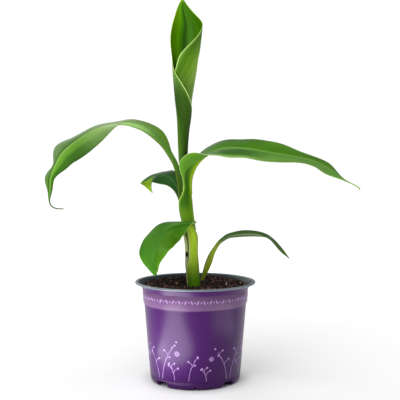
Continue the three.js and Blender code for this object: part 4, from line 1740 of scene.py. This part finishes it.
def build_leaves() -> None:
    """Builds the five open leaves, each with the finish of its own two faces."""
    left_leaf().build(
        BladeFace(
            "left_leaf_upper",
            ((0.0, "#7ca050"), (0.45, "#a2c47c"), (0.56, "#7c9c5c"), (0.9, "#6c8c4c"),
             (1.0, "#3c5c18")),
            # the blade ramp paints a sheen band, paler between 0.28 and 0.43, and painted shade,
            # darker towards the left margin at 0
            ((0.0, "#264c00"), (0.18, "#2e6000"), (0.28, "#568a1c"), (0.36, "#709e3c"),
             (0.43, "#5c8834"), (0.47, "#3c661a"), (0.5, "#21400a"), (0.53, "#2c560a"),
             (0.68, "#46701e"), (0.85, "#547838"), (1.0, "#4c6a2a")),
            meet=(0.47, 0.6), rib="#2c4c10", rib_share=0.4, edge="#34520c", edge_share=0.5,
            tip="#74766a", streak=0.26, base="#679806", base_end=0.36),
        BladeFace(
            "left_leaf_under",
            ((0.0, "#466408"), (0.14, "#30580c"), (0.28, "#3c6414"), (0.42, "#4c7020"),
             (0.5, "#4f5e04"), (0.55, "#3c6a14"), (1.0, "#4c7c28")),
            ((0.0, "#4c6c14"), (0.12, "#4c7824"), (0.28, "#7ca054"), (0.42, "#6c9448"),
             (0.5, "#5c7414"), (1.0, "#5c8040")),
            meet=(0.3, 0.42), rib="#50600c", rib_share=0.7, edge="#52640c", edge_share=0.5,
            tip="#74766a", base="#284800", base_end=0.18, streak=0.24))
    right_leaf().build(
        BladeFace(
            "right_leaf_upper",
            ((0.0, "#3c6814"), (0.3, "#407410"), (0.42, "#588c2c"), (0.48, "#6a9c3c"),
             (0.5, "#94b864"), (0.53, "#386c10"), (0.62, "#4c8024"), (0.74, "#2f6010"),
             (0.84, "#386a18"), (0.93, "#80a656"), (1.0, "#b4cc94")),
            ((0.0, "#466c20"), (0.12, "#487a14"), (0.3, "#3c7006"), (0.42, "#4a7e14"),
             (0.48, "#528620"), (0.5, "#94b864"), (0.54, "#386a0c"), (0.64, "#528828"),
             (0.8, "#548630"), (0.92, "#648e3a"), (1.0, "#7ca052")),
            meet=(0.58, 0.68), rib="#8aae58", rib_share=0.4, edge="#7c9448", edge_share=0.4,
            tip="#868c38", streak=0.26),
        BladeFace(
            "right_leaf_under",
            ((0.0, "#4f7410"), (0.5, "#7f980c"), (0.6, "#789208"), (0.68, "#4c7404"),
             (0.75, "#2c5600"), (0.83, "#2a5200"), (0.9, "#4c7a08"), (0.95, "#86aa38"),
             (1.0, "#b0c878")),
            ((0.0, "#4c7418"), (0.5, "#6c8c18"), (0.62, "#4c7c14"), (0.8, "#4a7a1a"),
             (1.0, "#5c8a24")),
            meet=(0.4685, 0.4735), meet_slant=0.235, base="#5c860a", base_end=0.12, base_share=0.75,
            rib="#7c960c", rib_share=0.6, edge="#b4cc84", edge_share=0.85, edge_from=0.94,
            tip="#868c38"))
    back_leaf().build(
        BladeFace(
            "back_leaf_upper",
            ((0.0, "#1f4518"), (0.46, "#2f5c28"), (0.5, "#4a7440"), (0.54, "#2a5424"),
             (0.86, "#284c20"), (1.0, "#7c9668")),
            ((0.0, "#7c9c04"), (0.27, "#6c8c08"), (0.35, "#2f5c28"), (1.0, "#2c5828")),
            meet=(0.54, 0.61), rib="#4c7440", rib_share=0.5, tip="#8a9080", edge_share=0.3),
        BladeFace(
            "back_leaf_under", even("#3c6834"), even("#5c7c1c", "#487040"),
            rib="#5c7c4c", edge_share=0.3))
    lower_leaf().build(
        BladeFace(
            "lower_leaf_upper",
            ((0.0, "#3c7000"), (0.3, "#336600"), (0.46, "#2a5c04"), (0.52, "#4a7c24"),
             (0.8, "#3c6c20"), (1.0, "#1a400c")),
            ((0.0, "#437400"), (0.3, "#3c6c00"), (0.45, "#336400"), (0.5, "#2c600c"),
             (0.56, "#35680f"), (1.0, "#356a0c")),
            rib="#3c6c1c", rib_share=0.4, edge="#8cb050", edge_share=0.6, tip="#3f7a08",
            edge_from=0.94),
        BladeFace(
            "lower_leaf_under", even("#6c9440"), even("#6c9440"), rib="#8aac58",
            edge_share=0.5))
    sucker_leaf().build(
        BladeFace(
            "sucker_leaf_upper",
            even("#7c9410", "#8ea40c", "#7c9410"),
            even("#34581c", "#3c641e", "#34581c"),
            meet=(0.35, 0.5), rib="#6a8628", edge="#46621e", edge_share=0.5, tip="#6c7434"),
        BladeFace(
            "sucker_leaf_under",
            ((0.0, "#8a9a1c"), (0.5, "#92a60a"), (0.8, "#96aa1c"), (1.0, "#a4b450")),
            even("#5f744a", "#566e36", "#667c52"),
            meet=(0.35, 0.5), rib="#869a10", edge="#66743c", edge_share=0.4, tip="#6c7434"))


def main() -> None:
    """Builds the studio and the plant, sub-assembly by sub-assembly."""
    logging.basicConfig(level=logging.INFO, format="%(name)s: %(message)s")
    Studio().build()
    pot = Pot().build()
    PotPrint().build(pot)
    Soil().build()
    build_stem()
    build_spear()
    build_leaves()


if __name__ == "__main__":
    main()
